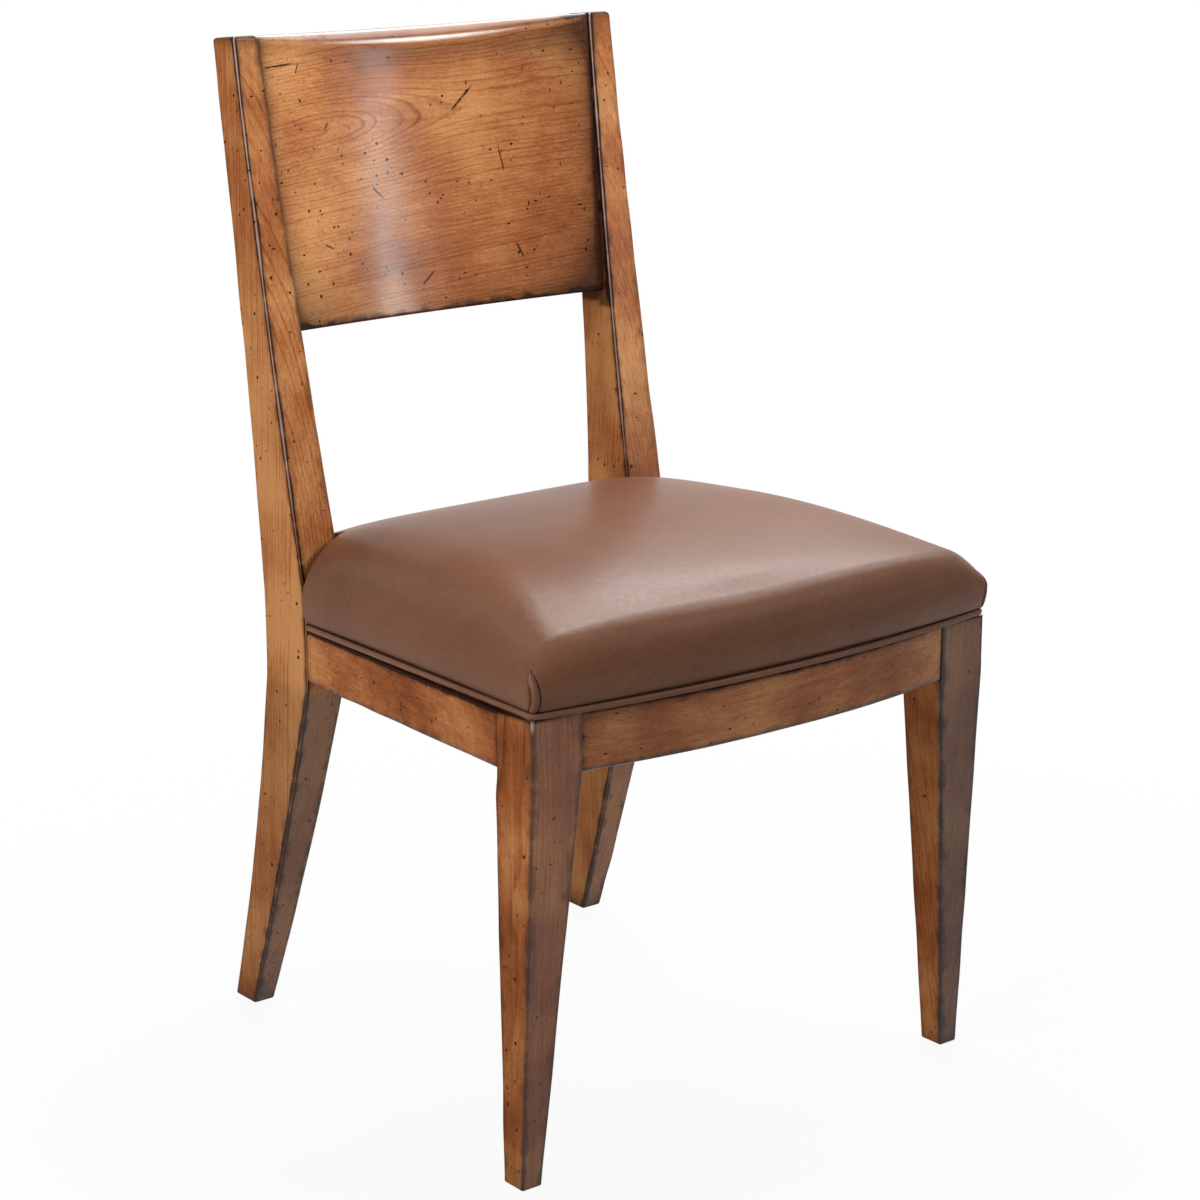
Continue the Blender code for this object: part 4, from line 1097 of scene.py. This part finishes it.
def base_closed(points, rim):
    """Close the base below its rim: a strip in to a smaller ring, then a fan to the ring's middle.

    The ring lies in the plane of the welt's top, at BASE_SHARE of the rim's distance from the middle."""
    middle = points[rim].mean(axis=0)
    inside = np.concatenate((middle + BASE_SHARE * (points[rim] - middle), middle[None]))
    inside[:, 2] = seat_level(inside[:, 1]) + WELT_TOP
    ring = len(points) + np.arange(len(rim))
    points = np.concatenate((points, inside))
    next_rim, next_ring = np.roll(rim, -1), np.roll(ring, -1)
    strip = np.stack((next_rim, rim, ring, next_ring), axis=-1)
    return points, (strip, np.stack((next_ring, ring, np.full_like(ring, len(points) - 1)), axis=-1))


# %% [markdown]
# The leather carries painted shade in its creases and is bright where sitting has polished it: on the
# crown, low on the front wall and on the rims of the pleats. With these marks the cushion is put together.

# %% Build the cushion
CREASE_SHADE_REACH = 0.0022
WALL_POLISH, WALL_DEPTH, WALL_RISE = 0.9, (0.002, 0.012), (0.016, 0.030)
CROWN_RISE, CORNER_LIFT = (0.048, 0.062), (0.055, 0.018)
DULL_PLACE, DULL_BAND = 0.21, (0.08, 0.3)
RIM_POLISH = 6


def cushion_marks(points, hollow, rim):
    """Painted shade in the creases at the welt and in the pleats, and polish on the crown, low on the
    front wall and on the pleats' rubbed rims."""
    rise = above_welt(points)
    # Painted shade in the pleats' grooves and just above the welt.
    shade = np.clip(hollow + fading(np.maximum(rise, 0), CREASE_SHADE_REACH), 0, 1)
    from_front = points[:, 1] + SEAT_BOW * (1 - (2 * points[:, 0] / FRONT_SPAN) ** 2)
    on_wall = WALL_POLISH * (1 - smooth(from_front, *WALL_DEPTH)) * (1 - smooth(rise, *WALL_RISE))
    to_corner = np.hypot(np.abs(points[:, 0]) - FRONT_SPAN / 2, points[:, 1])
    on_crown = smooth(rise + bell(to_corner, *CORNER_LIFT), *CROWN_RISE)
    on_crown = on_crown * (1 - bell(from_front - DULL_PLACE, *DULL_BAND))
    return {"crease_shade": shade, "polish": np.maximum(on_crown, on_wall) + RIM_POLISH * rim}


def build_cushion():
    """Fine cushion: form plus simulated moves, closed below, folded and notched."""
    moves = cushion_moves()
    top, skirt = cushion_grids(*FINE, START_DOME if moves else DOME)
    if moves:
        top = top + moves[0]
        skirt = [part + move for part, move in zip(skirt, moves[1])]
    points, quads, wall, hung = cushion_mesh(top, skirt)
    points, base = base_closed(points, hung[0])
    points, hollow, rim = fold_corners(points)
    marks = cushion_marks(points, hollow, rim)
    piece = add_mesh("seat_cushion", in_frame(points), [quads, wall, *base], marks)
    cut_notches(piece)
    piece.data.set_sharp_from_angle(angle=SHARP_ANGLE)
    print("cushion:", len(piece.data.vertices), "points", len(piece.data.polygons), "faces")
    return piece


cushion = build_cushion()
settle(cushion, "seat_leather", "seat_cover", "seat_foam")

# %% [markdown]
# ## Shader wires
# A finish is a sum of many small patterns. Writing it as arithmetic keeps it readable, so one small
# class wraps a node's socket: plus, minus, times and the rest add Math nodes, colours go through Mix
# nodes, and any other node comes from one method that takes its settings and its sockets.

# %% Wires between nodes
class Wire:
    """A socket on its way to another node; arithmetic on it adds Math nodes."""

    def __init__(self, tree, socket):
        self.tree, self.socket = tree, socket

    def node(self, kind, settings, inputs, output=0):
        """Add a node: its settings first, then the values and links of its sockets."""
        made = self.tree.nodes.new("ShaderNode" + kind)
        for name, value in settings.items():
            if name == "stops":
                elements = made.color_ramp.elements
                for number, (place, colour) in enumerate(value):
                    element = elements[number] if number < 2 else elements.new(place)
                    element.position, element.color = place, colour
            else:
                setattr(made, name, value)
        for name, value in inputs.items():
            if isinstance(value, Wire):
                self.tree.links.new(value.socket, made.inputs[name])
            else:
                made.inputs[name].default_value = value
        return Wire(self.tree, made.outputs[output])

    def math(self, operation, *values):
        """A Math node on one or more values."""
        return self.node("Math", {"operation": operation}, dict(enumerate(values)))

    def __add__(self, other):
        return self.math("ADD", self, other)

    def __sub__(self, other):
        return self.math("SUBTRACT", self, other)

    def __rsub__(self, other):
        return self.math("SUBTRACT", other, self)

    def __mul__(self, other):
        return self.math("MULTIPLY", self, other)

    def __truediv__(self, other):
        return self.math("DIVIDE", self, other)

    def __rtruediv__(self, other):
        return self.math("DIVIDE", other, self)

    __radd__, __rmul__ = __add__, __mul__

    def swing(self, amount):
        """A noise's swing about its middle, by this amount in all."""
        return (self - 0.5) * amount

    def axis(self, number):
        """One coordinate of a vector."""
        return self.node("SeparateXYZ", {}, {0: self}, number)

    def step(self, low, high):
        """Smooth step of a value from 0 at low to 1 at high."""
        return self.node("MapRange", {"interpolation_type": "SMOOTHSTEP"},
                         {"Value": self, "From Min": low, "From Max": high})

    def mix(self, low, high):
        """Colour between low and high by this share."""
        return self.node("Mix", {"data_type": "RGBA"}, {0: self, 6: low, 7: high}, 2)

    def noise(self, scale, detail):
        """Noise on a vector, with one scale for all axes or one for each."""
        scales = scale if isinstance(scale, tuple) else (scale,) * 3
        place = self.node("Mapping", {}, {"Vector": self, "Scale": scales})
        return self.node("TexNoise", {}, {"Vector": place, "Scale": 1.0, "Detail": detail})

    def grained(self, grain, along, across, detail):
        """Noise with one scale along the grain's axis and another across it."""
        return self.noise(tuple(along if axis == grain else across for axis in range(3)), detail)

    def mark(self, name):
        """The number that the mesh carries under this name."""
        return self.node("Attribute", {"attribute_name": name}, {}, 2)


def dye(red, green, blue):
    """Linear colour from the usual 0 to 255 numbers."""
    share = np.array((red, green, blue)) / 255
    linear = np.where(share <= 0.04045, share / 12.92, ((share + 0.055) / 1.055) ** 2.4)
    return (*linear.tolist(), 1.0)


def new_finish(name):
    """A material, the wire of its Object coordinates and its surface shader."""
    material = bpy.data.materials.new(name)
    material.use_nodes = True
    tree = material.node_tree
    coordinates = tree.nodes.new("ShaderNodeTexCoord")
    return material, Wire(tree, coordinates.outputs["Object"]), tree.nodes["Principled BSDF"]


def feed(place, shader, height, lift, **sockets):
    """Bump the shader by height * lift, in metres, and link or set its other sockets."""
    bump = place.node("Bump", {}, {"Height": height, "Distance": lift, "Strength": 1.0})
    place.tree.links.new(bump.socket, shader.inputs["Normal"])
    for name, value in sockets.items():
        socket = shader.inputs[name.replace("_", " ")]
        if isinstance(value, Wire):
            place.tree.links.new(value.socket, socket)
        else:
            socket.default_value = value


# %% [markdown]
# ## Holes and scratches
# Makers age a finish with small worm holes, nicks and a few long scratches. The small ones come from
# random cells and fall anywhere. The long scratches of the panel are drawn one by one, each as the
# distance from a short line on its face.

# %% Holes and scratches
HOLE_EDGE, HOLE_SIZES, CHANCE_STEP = (0.055, 0.110), (0.5, 1.1), 0.02
HOLE_RIM, HOLE_RAGGED = (520, 2.0), 0.10
HOLE_CELLS = (((72, 72, 72), 0.0, 0.45), ((64, 90, 150), 0.5, 0.55), ((150, 90, 60), 0.4, 0.6))
SCRATCH_DEPTH = (0.004, 0.008)
SCRATCH_START, SCRATCH_END, SCRATCH_CORE = (-0.04, 0.15), (0.65, 1.05), 0.2
SCRATCH_RAGGED, SCRATCH_GAPS = (220, 2.0), (0.18, 0.46)


def worm_holes(place):
    """Small round pits and longer nicks: near a random cell's point, in some of the cells only."""
    total = 0.0
    rim = place.noise(*HOLE_RIM).swing(HOLE_RAGGED)
    for scale, turn, chance in HOLE_CELLS:
        spot = place.node("Mapping", {}, {"Vector": place, "Rotation": (0.0, turn, 0.0), "Scale": scale})
        cells = place.node("TexVoronoi", {}, {"Vector": spot, "Scale": 1.0})
        shades = Wire(place.tree, cells.socket.node.outputs["Color"])
        pick, other = (shades.node("SeparateColor", {}, {0: shades}, channel) for channel in (0, 1))
        size = HOLE_SIZES[0] + other * HOLE_SIZES[1]
        hole = 1 - ((cells + rim) / size).step(*HOLE_EDGE)
        total = hole * pick.step(chance, chance + CHANCE_STEP) + total
    return total


def stroke_mask(place, start, end, width):
    """Mask of a scratch between two (x, z) points: near the line, and fading at its ends."""
    start, end = np.array(start), np.array(end)
    length = float(np.linalg.norm(end - start))
    direction = (end - start) / length
    x, z = place.axis(0) - float(start[0]), place.axis(2) - float(start[1])
    along = (x * float(direction[0]) + z * float(direction[1])) / length
    aside = z.math("ABSOLUTE", z * float(direction[0]) - x * float(direction[1]))
    gaps = place.noise(*SCRATCH_RAGGED).step(*SCRATCH_GAPS)
    inside = along.step(*SCRATCH_START) * (1 - along.step(*SCRATCH_END)) * gaps
    return (1 - aside.step(width * SCRATCH_CORE, width)) * inside


# Each scratch of the panel: its start and end as (x, z), and its width.
PANEL_SCRATCHES = (
    ((-0.1820, 0.8853), (-0.1386, 0.8871), 0.0013), ((-0.1390, 0.8869), (-0.1438, 0.8762), 0.0010),
    ((0.0312, 0.8322), (0.0593, 0.8561), 0.0016), ((0.0827, 0.7726), (0.0781, 0.7997), 0.0012),
    ((-0.0667, 0.7711), (-0.0532, 0.7572), 0.0015), ((-0.0203, 0.6763), (-0.0025, 0.6901), 0.0014),
    ((0.0884, 0.7060), (0.0964, 0.6895), 0.0013), ((-0.1292, 0.7257), (-0.1178, 0.7199), 0.0010),
    ((-0.1104, 0.8330), (-0.1163, 0.8256), 0.0010),
)

print("scratches on the panel:", len(PANEL_SCRATCHES))

# %% [markdown]
# ## Cherry
# A board is a slice through a log, so its figure is the log's rings seen on the cut. The shader measures
# each point's distance from a slightly tilted pith and turns it into rings with a thin dark late line.
# The hollow panel is a bent board, so there the depth is counted from its own face, by a mark on the mesh.
# Fibres, stain blotches, a dark glaze in the joints and along the edges, the painted light, shade and
# highlights that the marks carry, and small worm holes lie on top.

# %% Cherry finish
HONEY = dye(201, 141, 88)
BROWN = dye(160, 93, 51)
UMBER = dye(98, 49, 27)
# Colour of the dark glaze and of the painted shade.
GLAZE_AND_SHADE = dye(46, 25, 18)
SPECK = dye(28, 15, 12)
# Colour of the painted highlight on corners.
PAINTED_HIGHLIGHT = dye(188, 160, 156)

# Patterns: scales along and across the grain, or one scale, and the detail.
DRIFT, RING_WAVER = (5, 16, 2.0), (12, 60, 2.0)
FIBRE, STREAK = (22, 650, 5.0), (3.5, 240, 3.0)
STAIN, PORES = (280, 760, 3.0), (90, 1100, 1.0)
BLOTCH, RAGGED = (11, 4.0), (60, 4.0)

# How much each pattern moves the rings, the tone, the glaze and painted shade, and the surface.
DRIFT_REACH, RING_WAVER_REACH = 0.012, 0.8
LATE_START, LATE_END, PORE_STEP = (0.55, 0.95), (0.95, 1.0), (0.60, 0.68)
BASE_TONE, FIBRE_TONE, STREAK_TONE, STAIN_TONE = 0.60, 0.42, 0.45, 0.5
PORE_TONE, PALE_TONE = 0.14, 0.22
EDGE_GLAZE, EDGE_REACH, EDGE_RAGGED = 0.48, 0.007, 0.024
GLAZE_AND_SHADE_RAGGED, GLAZE_AND_SHADE_COVER = 0.16, 0.85
HIGHLIGHT_RAGGED, HIGHLIGHT_LEAST = 1.3, 0.15
FIBRE_BUMP, LATE_BUMP, PORE_BUMP, NICK_BUMP, WOOD_BUMP = 0.35, 0.2, 0.4, 2.5, 0.00012
WOOD_ROUGHNESS, FIBRE_ROUGHNESS, BLOTCH_ROUGHNESS = 0.34, 0.12, 0.10
COAT_LEAST, COAT_RAGGED = 0.6, 0.8


def late_lines(place, grain, pith, tilt, sway, ring):
    """Thin dark line at the end of each ring, with a random strength: the fraction of the distance
    sqrt(first^2 + second^2) from the pith, over the ring's width, rises and then drops."""
    along = place.axis(grain)
    across, through = (place.axis(axis) for axis in ((2, 1), (2, 0), (0, 1))[grain])
    first = across - pith[0] + place.grained(grain, *DRIFT).swing(DRIFT_REACH)
    if sway:
        reach, middle, span, rise = sway
        first = first - along * rise
        second = place.mark("depth") - pith[1] + along.math("TANH", (along - middle) / span) * reach
    else:
        second = through - pith[1] + along * tilt
    year = place.math("SQRT", first * first + second * second) / ring
    year = year + place.grained(grain, *RING_WAVER).swing(RING_WAVER_REACH)
    part = year.math("FRACT", year)
    strength = year.node("TexWhiteNoise", {"noise_dimensions": "1D"}, {"W": year.math("FLOOR", year)})
    return part.step(*LATE_START) * (1 - part.step(*LATE_END)) * strength


def cherry(name, grain, pith, tilt, sway=None, ring=0.004, figure=0.2, warmth=0.0, contrast=1.7,
           strokes=()):
    """Cherry with its grain along one axis; pith gives the log's centre on the other two axes.

    A sway (reach, middle, span, rise) is for a bent board, whose mark called depth counts from its face.
    There the pith wanders by reach * tanh((along - middle) / span) in depth and by along * rise across."""
    material, place, shader = new_finish(name)
    late = late_lines(place, grain, pith, tilt, sway, ring)
    fibre = place.grained(grain, *FIBRE)
    blotch, ragged = place.noise(*BLOTCH), place.noise(*RAGGED)
    pores = place.grained(grain, *PORES).step(*PORE_STEP)
    streak, stain = place.grained(grain, *STREAK), place.grained(grain, *STAIN)
    mottle = blotch.swing(contrast) + fibre.swing(FIBRE_TONE)
    mottle = mottle + streak.swing(STREAK_TONE) + stain.swing(STAIN_TONE)
    # The pale mark paints light on the panel's left end and shade on its middle and right, and lightens the
    # posts round the block.
    tone = BASE_TONE + warmth + mottle - late * figure - pores * PORE_TONE + place.mark("pale") * PALE_TONE
    wood = tone.node("ValToRGB", {"stops": ((0.0, UMBER), (1.0, HONEY), (0.5, BROWN))}, {0: tone})
    from_edge = place.mark("edge") + ragged.swing(EDGE_RAGGED)
    edge_dark = (1 - from_edge.step(0.0, EDGE_REACH)) * EDGE_GLAZE
    # The glaze mark carries dark glaze and painted shade alike.
    glaze_and_shade = place.mark("glaze_and_shade") + edge_dark + ragged.swing(GLAZE_AND_SHADE_RAGGED)
    glazed_and_shaded = (glaze_and_shade * GLAZE_AND_SHADE_COVER).mix(wood, GLAZE_AND_SHADE)
    # Painted highlight: a pale line mixed in where the corners catch the light.
    highlighted = (place.mark("painted_highlight") * (ragged * HIGHLIGHT_RAGGED + HIGHLIGHT_LEAST)).mix(glazed_and_shaded, PAINTED_HIGHLIGHT)
    nicks = worm_holes(place)
    if strokes:
        on_face = 1 - place.mark("depth").step(*SCRATCH_DEPTH)
        nicks = nicks + on_face * sum(stroke_mask(place, *stroke) for stroke in strokes)
    colour = nicks.math("MINIMUM", nicks, 1.0).mix(highlighted, SPECK)
    height = fibre * FIBRE_BUMP - late * LATE_BUMP - pores * PORE_BUMP - nicks * NICK_BUMP
    feed(place, shader, height, WOOD_BUMP, Base_Color=colour,
         Roughness=WOOD_ROUGHNESS + fibre.swing(FIBRE_ROUGHNESS) + blotch.swing(BLOTCH_ROUGHNESS),
         Coat_Weight=place.mark("polish") * (COAT_LEAST + ragged * COAT_RAGGED),
         Coat_Roughness=0.17, Specular_IOR_Level=0.01)
    return material


# %% [markdown]
# Every piece was cut from its own board, so each one gets its own pith, tilt and tone.

# %% Finish the wooden pieces
PANEL_SWAY = (0.015, -0.05, 0.06, 0.08)
finishes = {
    "panel": cherry("cherry_panel", 0, (0.833, -0.015), 0.0, PANEL_SWAY, ring=0.0036, figure=0.38,
                    warmth=0.12, contrast=1.1, strokes=PANEL_SCRATCHES),
    "post_left": cherry("cherry_post_left", 2, (-0.235, 0.178), 0.06, figure=0.34, warmth=0.13),
    "post_right": cherry("cherry_post_right", 2, (0.16, 0.168), 0.05, warmth=0.07),
    "leg_left": cherry("cherry_leg_left", 2, (-0.19, -0.20), 0.07, warmth=-0.08),
    "leg_right": cherry("cherry_leg_right", 2, (0.27, -0.19), -0.06),
    "front_rail": cherry("cherry_front_rail", 0, (0.36, -0.20), 0.10, figure=0.12, warmth=0.03),
    "rear_rail": cherry("cherry_rear_rail", 0, (0.35, 0.15), 0.08),
    "side_rail_left": cherry("cherry_side_rail_left", 1, (0.36, -0.16), 0.18, figure=0.10, warmth=-0.05),
    "side_rail_right": cherry("cherry_side_rail_right", 1, (0.40, 0.18), 0.15, figure=0.10),
}
wooden = {"panel": panel, **rail_pieces, **posts, **legs}
for name, piece in wooden.items():
    piece.data.materials.append(finishes[name])
print("cherry on", len(wooden), "pieces")

# %% [markdown]
# ## Leather
# The hide is dyed brown and lightly polished. Its grain is a pebble of cells about a millimetre across,
# with finer skin between them. The colour shifts softly over the seat, and painted shade darkens it in
# the creases at the welt and in the pleats.

# %% Leather finish
HIDE_LIGHT = dye(132, 90, 66)
HIDE_DARK = dye(99, 63, 47)
# Colour of the painted shade in the creases.
CREASE_SHADE = dye(40, 26, 22)
PEBBLE_SCALE, PEBBLE_SMOOTHNESS = 800.0, 0.6
SKIN, WRINKLE, CLOUD, SPECKLE = (1600, 2.0), (75, 3.0), (8, 4.0), (190, 4.0)
CLOUD_TONE, SPECKLE_TONE, PEBBLE_TONE = 1.0, 0.6, 0.12
PEBBLE_BUMP, SKIN_BUMP, WRINKLE_BUMP, HIDE_BUMP = -0.7, 0.3, 2.2, 0.00010
HIDE_ROUGHNESS, SPECKLE_ROUGHNESS, CLOUD_ROUGHNESS = 0.40, 0.10, 0.06
HIDE_COAT, SPECKLE_COAT = 0.05, 0.31


def leather(name, tone, crease_shade_share):
    """Pebbled leather; the crease mark paints shade into it, and the one called polish gives it a coat."""
    material, place, shader = new_finish(name)
    pebble = place.node("TexVoronoi", {"feature": "SMOOTH_F1"}, {
        "Vector": place, "Scale": PEBBLE_SCALE, "Smoothness": PEBBLE_SMOOTHNESS})
    skin, wrinkle, cloud, speckle = (place.noise(*kind) for kind in (SKIN, WRINKLE, CLOUD, SPECKLE))
    shade = tone + cloud.swing(CLOUD_TONE) + speckle.swing(SPECKLE_TONE) - pebble * PEBBLE_TONE
    # Painted shade in the creases, from the crease mark.
    colour = (place.mark("crease_shade") * crease_shade_share).mix(shade.mix(HIDE_DARK, HIDE_LIGHT), CREASE_SHADE)
    height = pebble * PEBBLE_BUMP + skin * SKIN_BUMP + wrinkle * WRINKLE_BUMP
    feed(place, shader, height, HIDE_BUMP, Base_Color=colour,
         Roughness=HIDE_ROUGHNESS + speckle.swing(SPECKLE_ROUGHNESS) + cloud.swing(CLOUD_ROUGHNESS),
         Coat_Weight=place.mark("polish") * (HIDE_COAT + speckle * SPECKLE_COAT),
         Coat_Roughness=0.25, Specular_IOR_Level=0.05)
    return material


cushion.data.materials.clear()
cushion.data.materials.append(leather("seat_hide", 0.60, 0.75))
welt.data.materials.append(leather("welt_hide", 0.75, 0.8))
print("leather on", cushion.name, "and", welt.name)

# %% [markdown]
# ## Under the seat
# The corner blocks, the plywood board, the dowels and the screws keep the shapes of their solids. They
# are bare wood and zinc-plated steel: poplar with long streaks, plywood whose thin layers show on its
# edge, and turned beech.

# %% Bare wood and steel
BARE_STREAK, BARE_CLOUD = (14, 320, 3.0), (18, 2.0)
STREAK_SHARE, CLOUD_SHARE = 0.9, 0.6
LAYER_STEP, LAYER_DARK = (0.45, 0.55), 0.45
SAW_SCALE, SAW_DISTORTION = 95.0, 3.0
BARE_STREAK_BUMP, SAW_BUMP, BARE_BUMP = 0.5, 0.3, 0.00015
BARE_ROUGHNESS, BARE_STREAK_ROUGHNESS = 0.62, 0.2
ZINC_PATCH, ZINC_BUMP, ZINC_ROUGHNESS, ZINC_DULLNESS = (240, 3.0), 0.00004, 0.28, 0.25
ZINC_DARK, ZINC_LIGHT = dye(150, 146, 136), dye(206, 203, 194)


def bare_wood(name, light, dark, grain, layers=0.0):
    """Unfinished wood: streaks along one axis, and alternate layers of this thickness where given."""
    material, place, shader = new_finish(name)
    streak = place.grained(grain, *BARE_STREAK)
    share = 0.5 + streak.swing(STREAK_SHARE) + place.noise(*BARE_CLOUD).swing(CLOUD_SHARE)
    if layers:
        ply = place.math("FRACT", (place.axis(2) + place.axis(1) * SEAT_SLOPE) / layers)
        share = share * (LAYER_DARK + (1 - LAYER_DARK) * ply.step(*LAYER_STEP))
    saw = place.node("TexWave", {"bands_direction": "DIAGONAL"}, {
        "Vector": place, "Scale": SAW_SCALE, "Distortion": SAW_DISTORTION})
    height = streak * BARE_STREAK_BUMP + saw * SAW_BUMP
    feed(place, shader, height, BARE_BUMP, Base_Color=share.mix(dark, light),
         Roughness=BARE_ROUGHNESS + streak.swing(BARE_STREAK_ROUGHNESS), Specular_IOR_Level=0.25)
    return material


def zinc(name):
    """Plated steel with dull patches."""
    material, place, shader = new_finish(name)
    patch = place.noise(*ZINC_PATCH)
    feed(place, shader, patch, ZINC_BUMP, Base_Color=patch.mix(ZINC_DARK, ZINC_LIGHT),
         Roughness=ZINC_ROUGHNESS + patch * ZINC_DULLNESS, Metallic=1.0)
    return material


bare_finishes = {
    "corner_block": bare_wood("bare_poplar", dye(205, 184, 140), dye(160, 136, 92), 0),
    "seat_board": bare_wood("bare_plywood", dye(214, 180, 132), dye(158, 116, 74), 0, 0.003),
    "dowel": bare_wood("bare_beech", dye(216, 178, 138), dye(176, 132, 96), 0),
    "seat_screw": zinc("zinc_plate"),
}
bare_finishes["block_screw"] = bare_finishes["seat_screw"]
for node_name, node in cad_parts.items():
    for start, finish in bare_finishes.items():
        if node_name.startswith(start):
            for node_slot in node.material_slots:
                node_slot.material = finish
print("bare finishes:", sorted({finish.name for finish in bare_finishes.values()}))

# %% [markdown]
# ## Stage
# The chair stands on a white floor in front of white. Both are white to the camera and to reflections
# through Light Path, and the floor keeps a share of plain diffuse white, so the chair's shadow stays.

# %% Stage
FLOOR_SIZE = 30.0
FLOOR_WHITE, WHITE = (0.7, 0.7, 0.7, 1), (1, 1, 1, 1)
SHADOW_SHARE = 0.07
SHADOW_REACH, SHADOW_FULL = 1.1, 0.3
AMBIENT = 0.06
SEEN_RAYS = ("Is Camera Ray", "Is Glossy Ray", "Is Transmission Ray")


def seen_share(tree):
    """1 for rays from the camera, reflections and glass, 0 for the rest."""
    path = tree.nodes.new("ShaderNodeLightPath")
    total = sum(Wire(tree, path.outputs[name]) for name in SEEN_RAYS)
    return total.math("MINIMUM", total, 1.0)


half = FLOOR_SIZE / 2
floor_corners = [(-half, -half, 0), (half, -half, 0), (half, half, 0), (-half, half, 0)]
floor_mesh = bpy.data.meshes.new("floor")
floor_mesh.from_pydata(floor_corners, [], [(0, 1, 2, 3)])
floor = bpy.data.objects.new("floor", floor_mesh)
bpy.context.scene.collection.objects.link(floor)
floor_finish = bpy.data.materials.new("white_floor")
floor_finish.use_nodes = True
floor_tree = floor_finish.node_tree
floor_tree.nodes.remove(floor_tree.nodes["Principled BSDF"])
seen = seen_share(floor_tree)
plain = seen.node("BsdfDiffuse", {}, {"Color": FLOOR_WHITE})
glow = seen.node("Emission", {}, {"Color": WHITE, "Strength": 1.0})
spot = Wire(floor_tree, floor_tree.nodes.new("ShaderNodeTexCoord").outputs["Object"])
away = spot.node("VectorMath", {"operation": "LENGTH"}, {0: spot}, 1)
share = seen * (1 - SHADOW_SHARE * (1 - away.step(SHADOW_REACH * SHADOW_FULL, SHADOW_REACH)))
surface = seen.node("MixShader", {}, {0: share, 1: plain, 2: glow})
floor_tree.links.new(surface.socket, floor_tree.nodes["Material Output"].inputs["Surface"])
floor_mesh.materials.append(floor_finish)

world = bpy.data.worlds.new("white_studio")
world.use_nodes = True
bpy.context.scene.world = world
seen = seen_share(world.node_tree)
background = world.node_tree.nodes["Background"]
background.inputs["Color"].default_value = WHITE
strength = seen * (1 - AMBIENT) + AMBIENT
world.node_tree.links.new(strength.socket, background.inputs["Strength"])
print("stage: floor", FLOOR_SIZE, "m, ambient", AMBIENT)

# %% [markdown]
# ## Lights
# Six soft boxes light the chair. A large one stands at the left, with a smaller one behind it for the
# back panel. A weak one in front lights the top of the panel. A large one hangs above the rear, a long
# band behind the seat draws a sheen on the leather, and a narrow strip at the right draws the upright
# sheen on the hollow panel.

# %% Lights
SEAT_MIDDLE = (0.0, 0.0, 0.50)


def soft_box(name, place, aim, width, height, power, spread=180.0, colour=(1, 1, 1)):
    """Rectangular lamp whose light leaves a place towards aim, within a spread of degrees."""
    lamp = bpy.data.lights.new(name, "AREA")
    lamp.shape, lamp.size, lamp.size_y, lamp.energy = "RECTANGLE", width, height, power
    lamp.spread, lamp.color = np.radians(spread), colour
    box = bpy.data.objects.new(name, lamp)
    box.location = place
    box.rotation_euler = (Vector(aim) - Vector(place)).to_track_quat("-Z", "Y").to_euler()
    bpy.context.scene.collection.objects.link(box)


soft_box("left", (-2.4, -0.4, 1.6), SEAT_MIDDLE, 1.4, 1.4, 31)
soft_box("left_rear", (-2.2, 0.6, 1.5), (0.0, 0.2, 0.75), 1.0, 1.0, 11)
soft_box("front_above", (1.3, -1.3, 2.1), (0.0, 0.2, 0.88), 1.0, 0.8, 3.2, 34)
soft_box("rear_above", (1.3, 0.75, 2.45), SEAT_MIDDLE, 2.4, 1.8, 62)
soft_box("rear_band", (1.5, 1.35, 2.1), (1.5, 0.0, 0.45), 2.8, 0.4, 24)
soft_box("strip_right", (1.95, -1.98, 0.95), (0.0, 0.2, 1.15), 0.12, 0.8, 1.5, 34, (0.68, 0.92, 1.0))
print("lights:", len(bpy.data.lights))
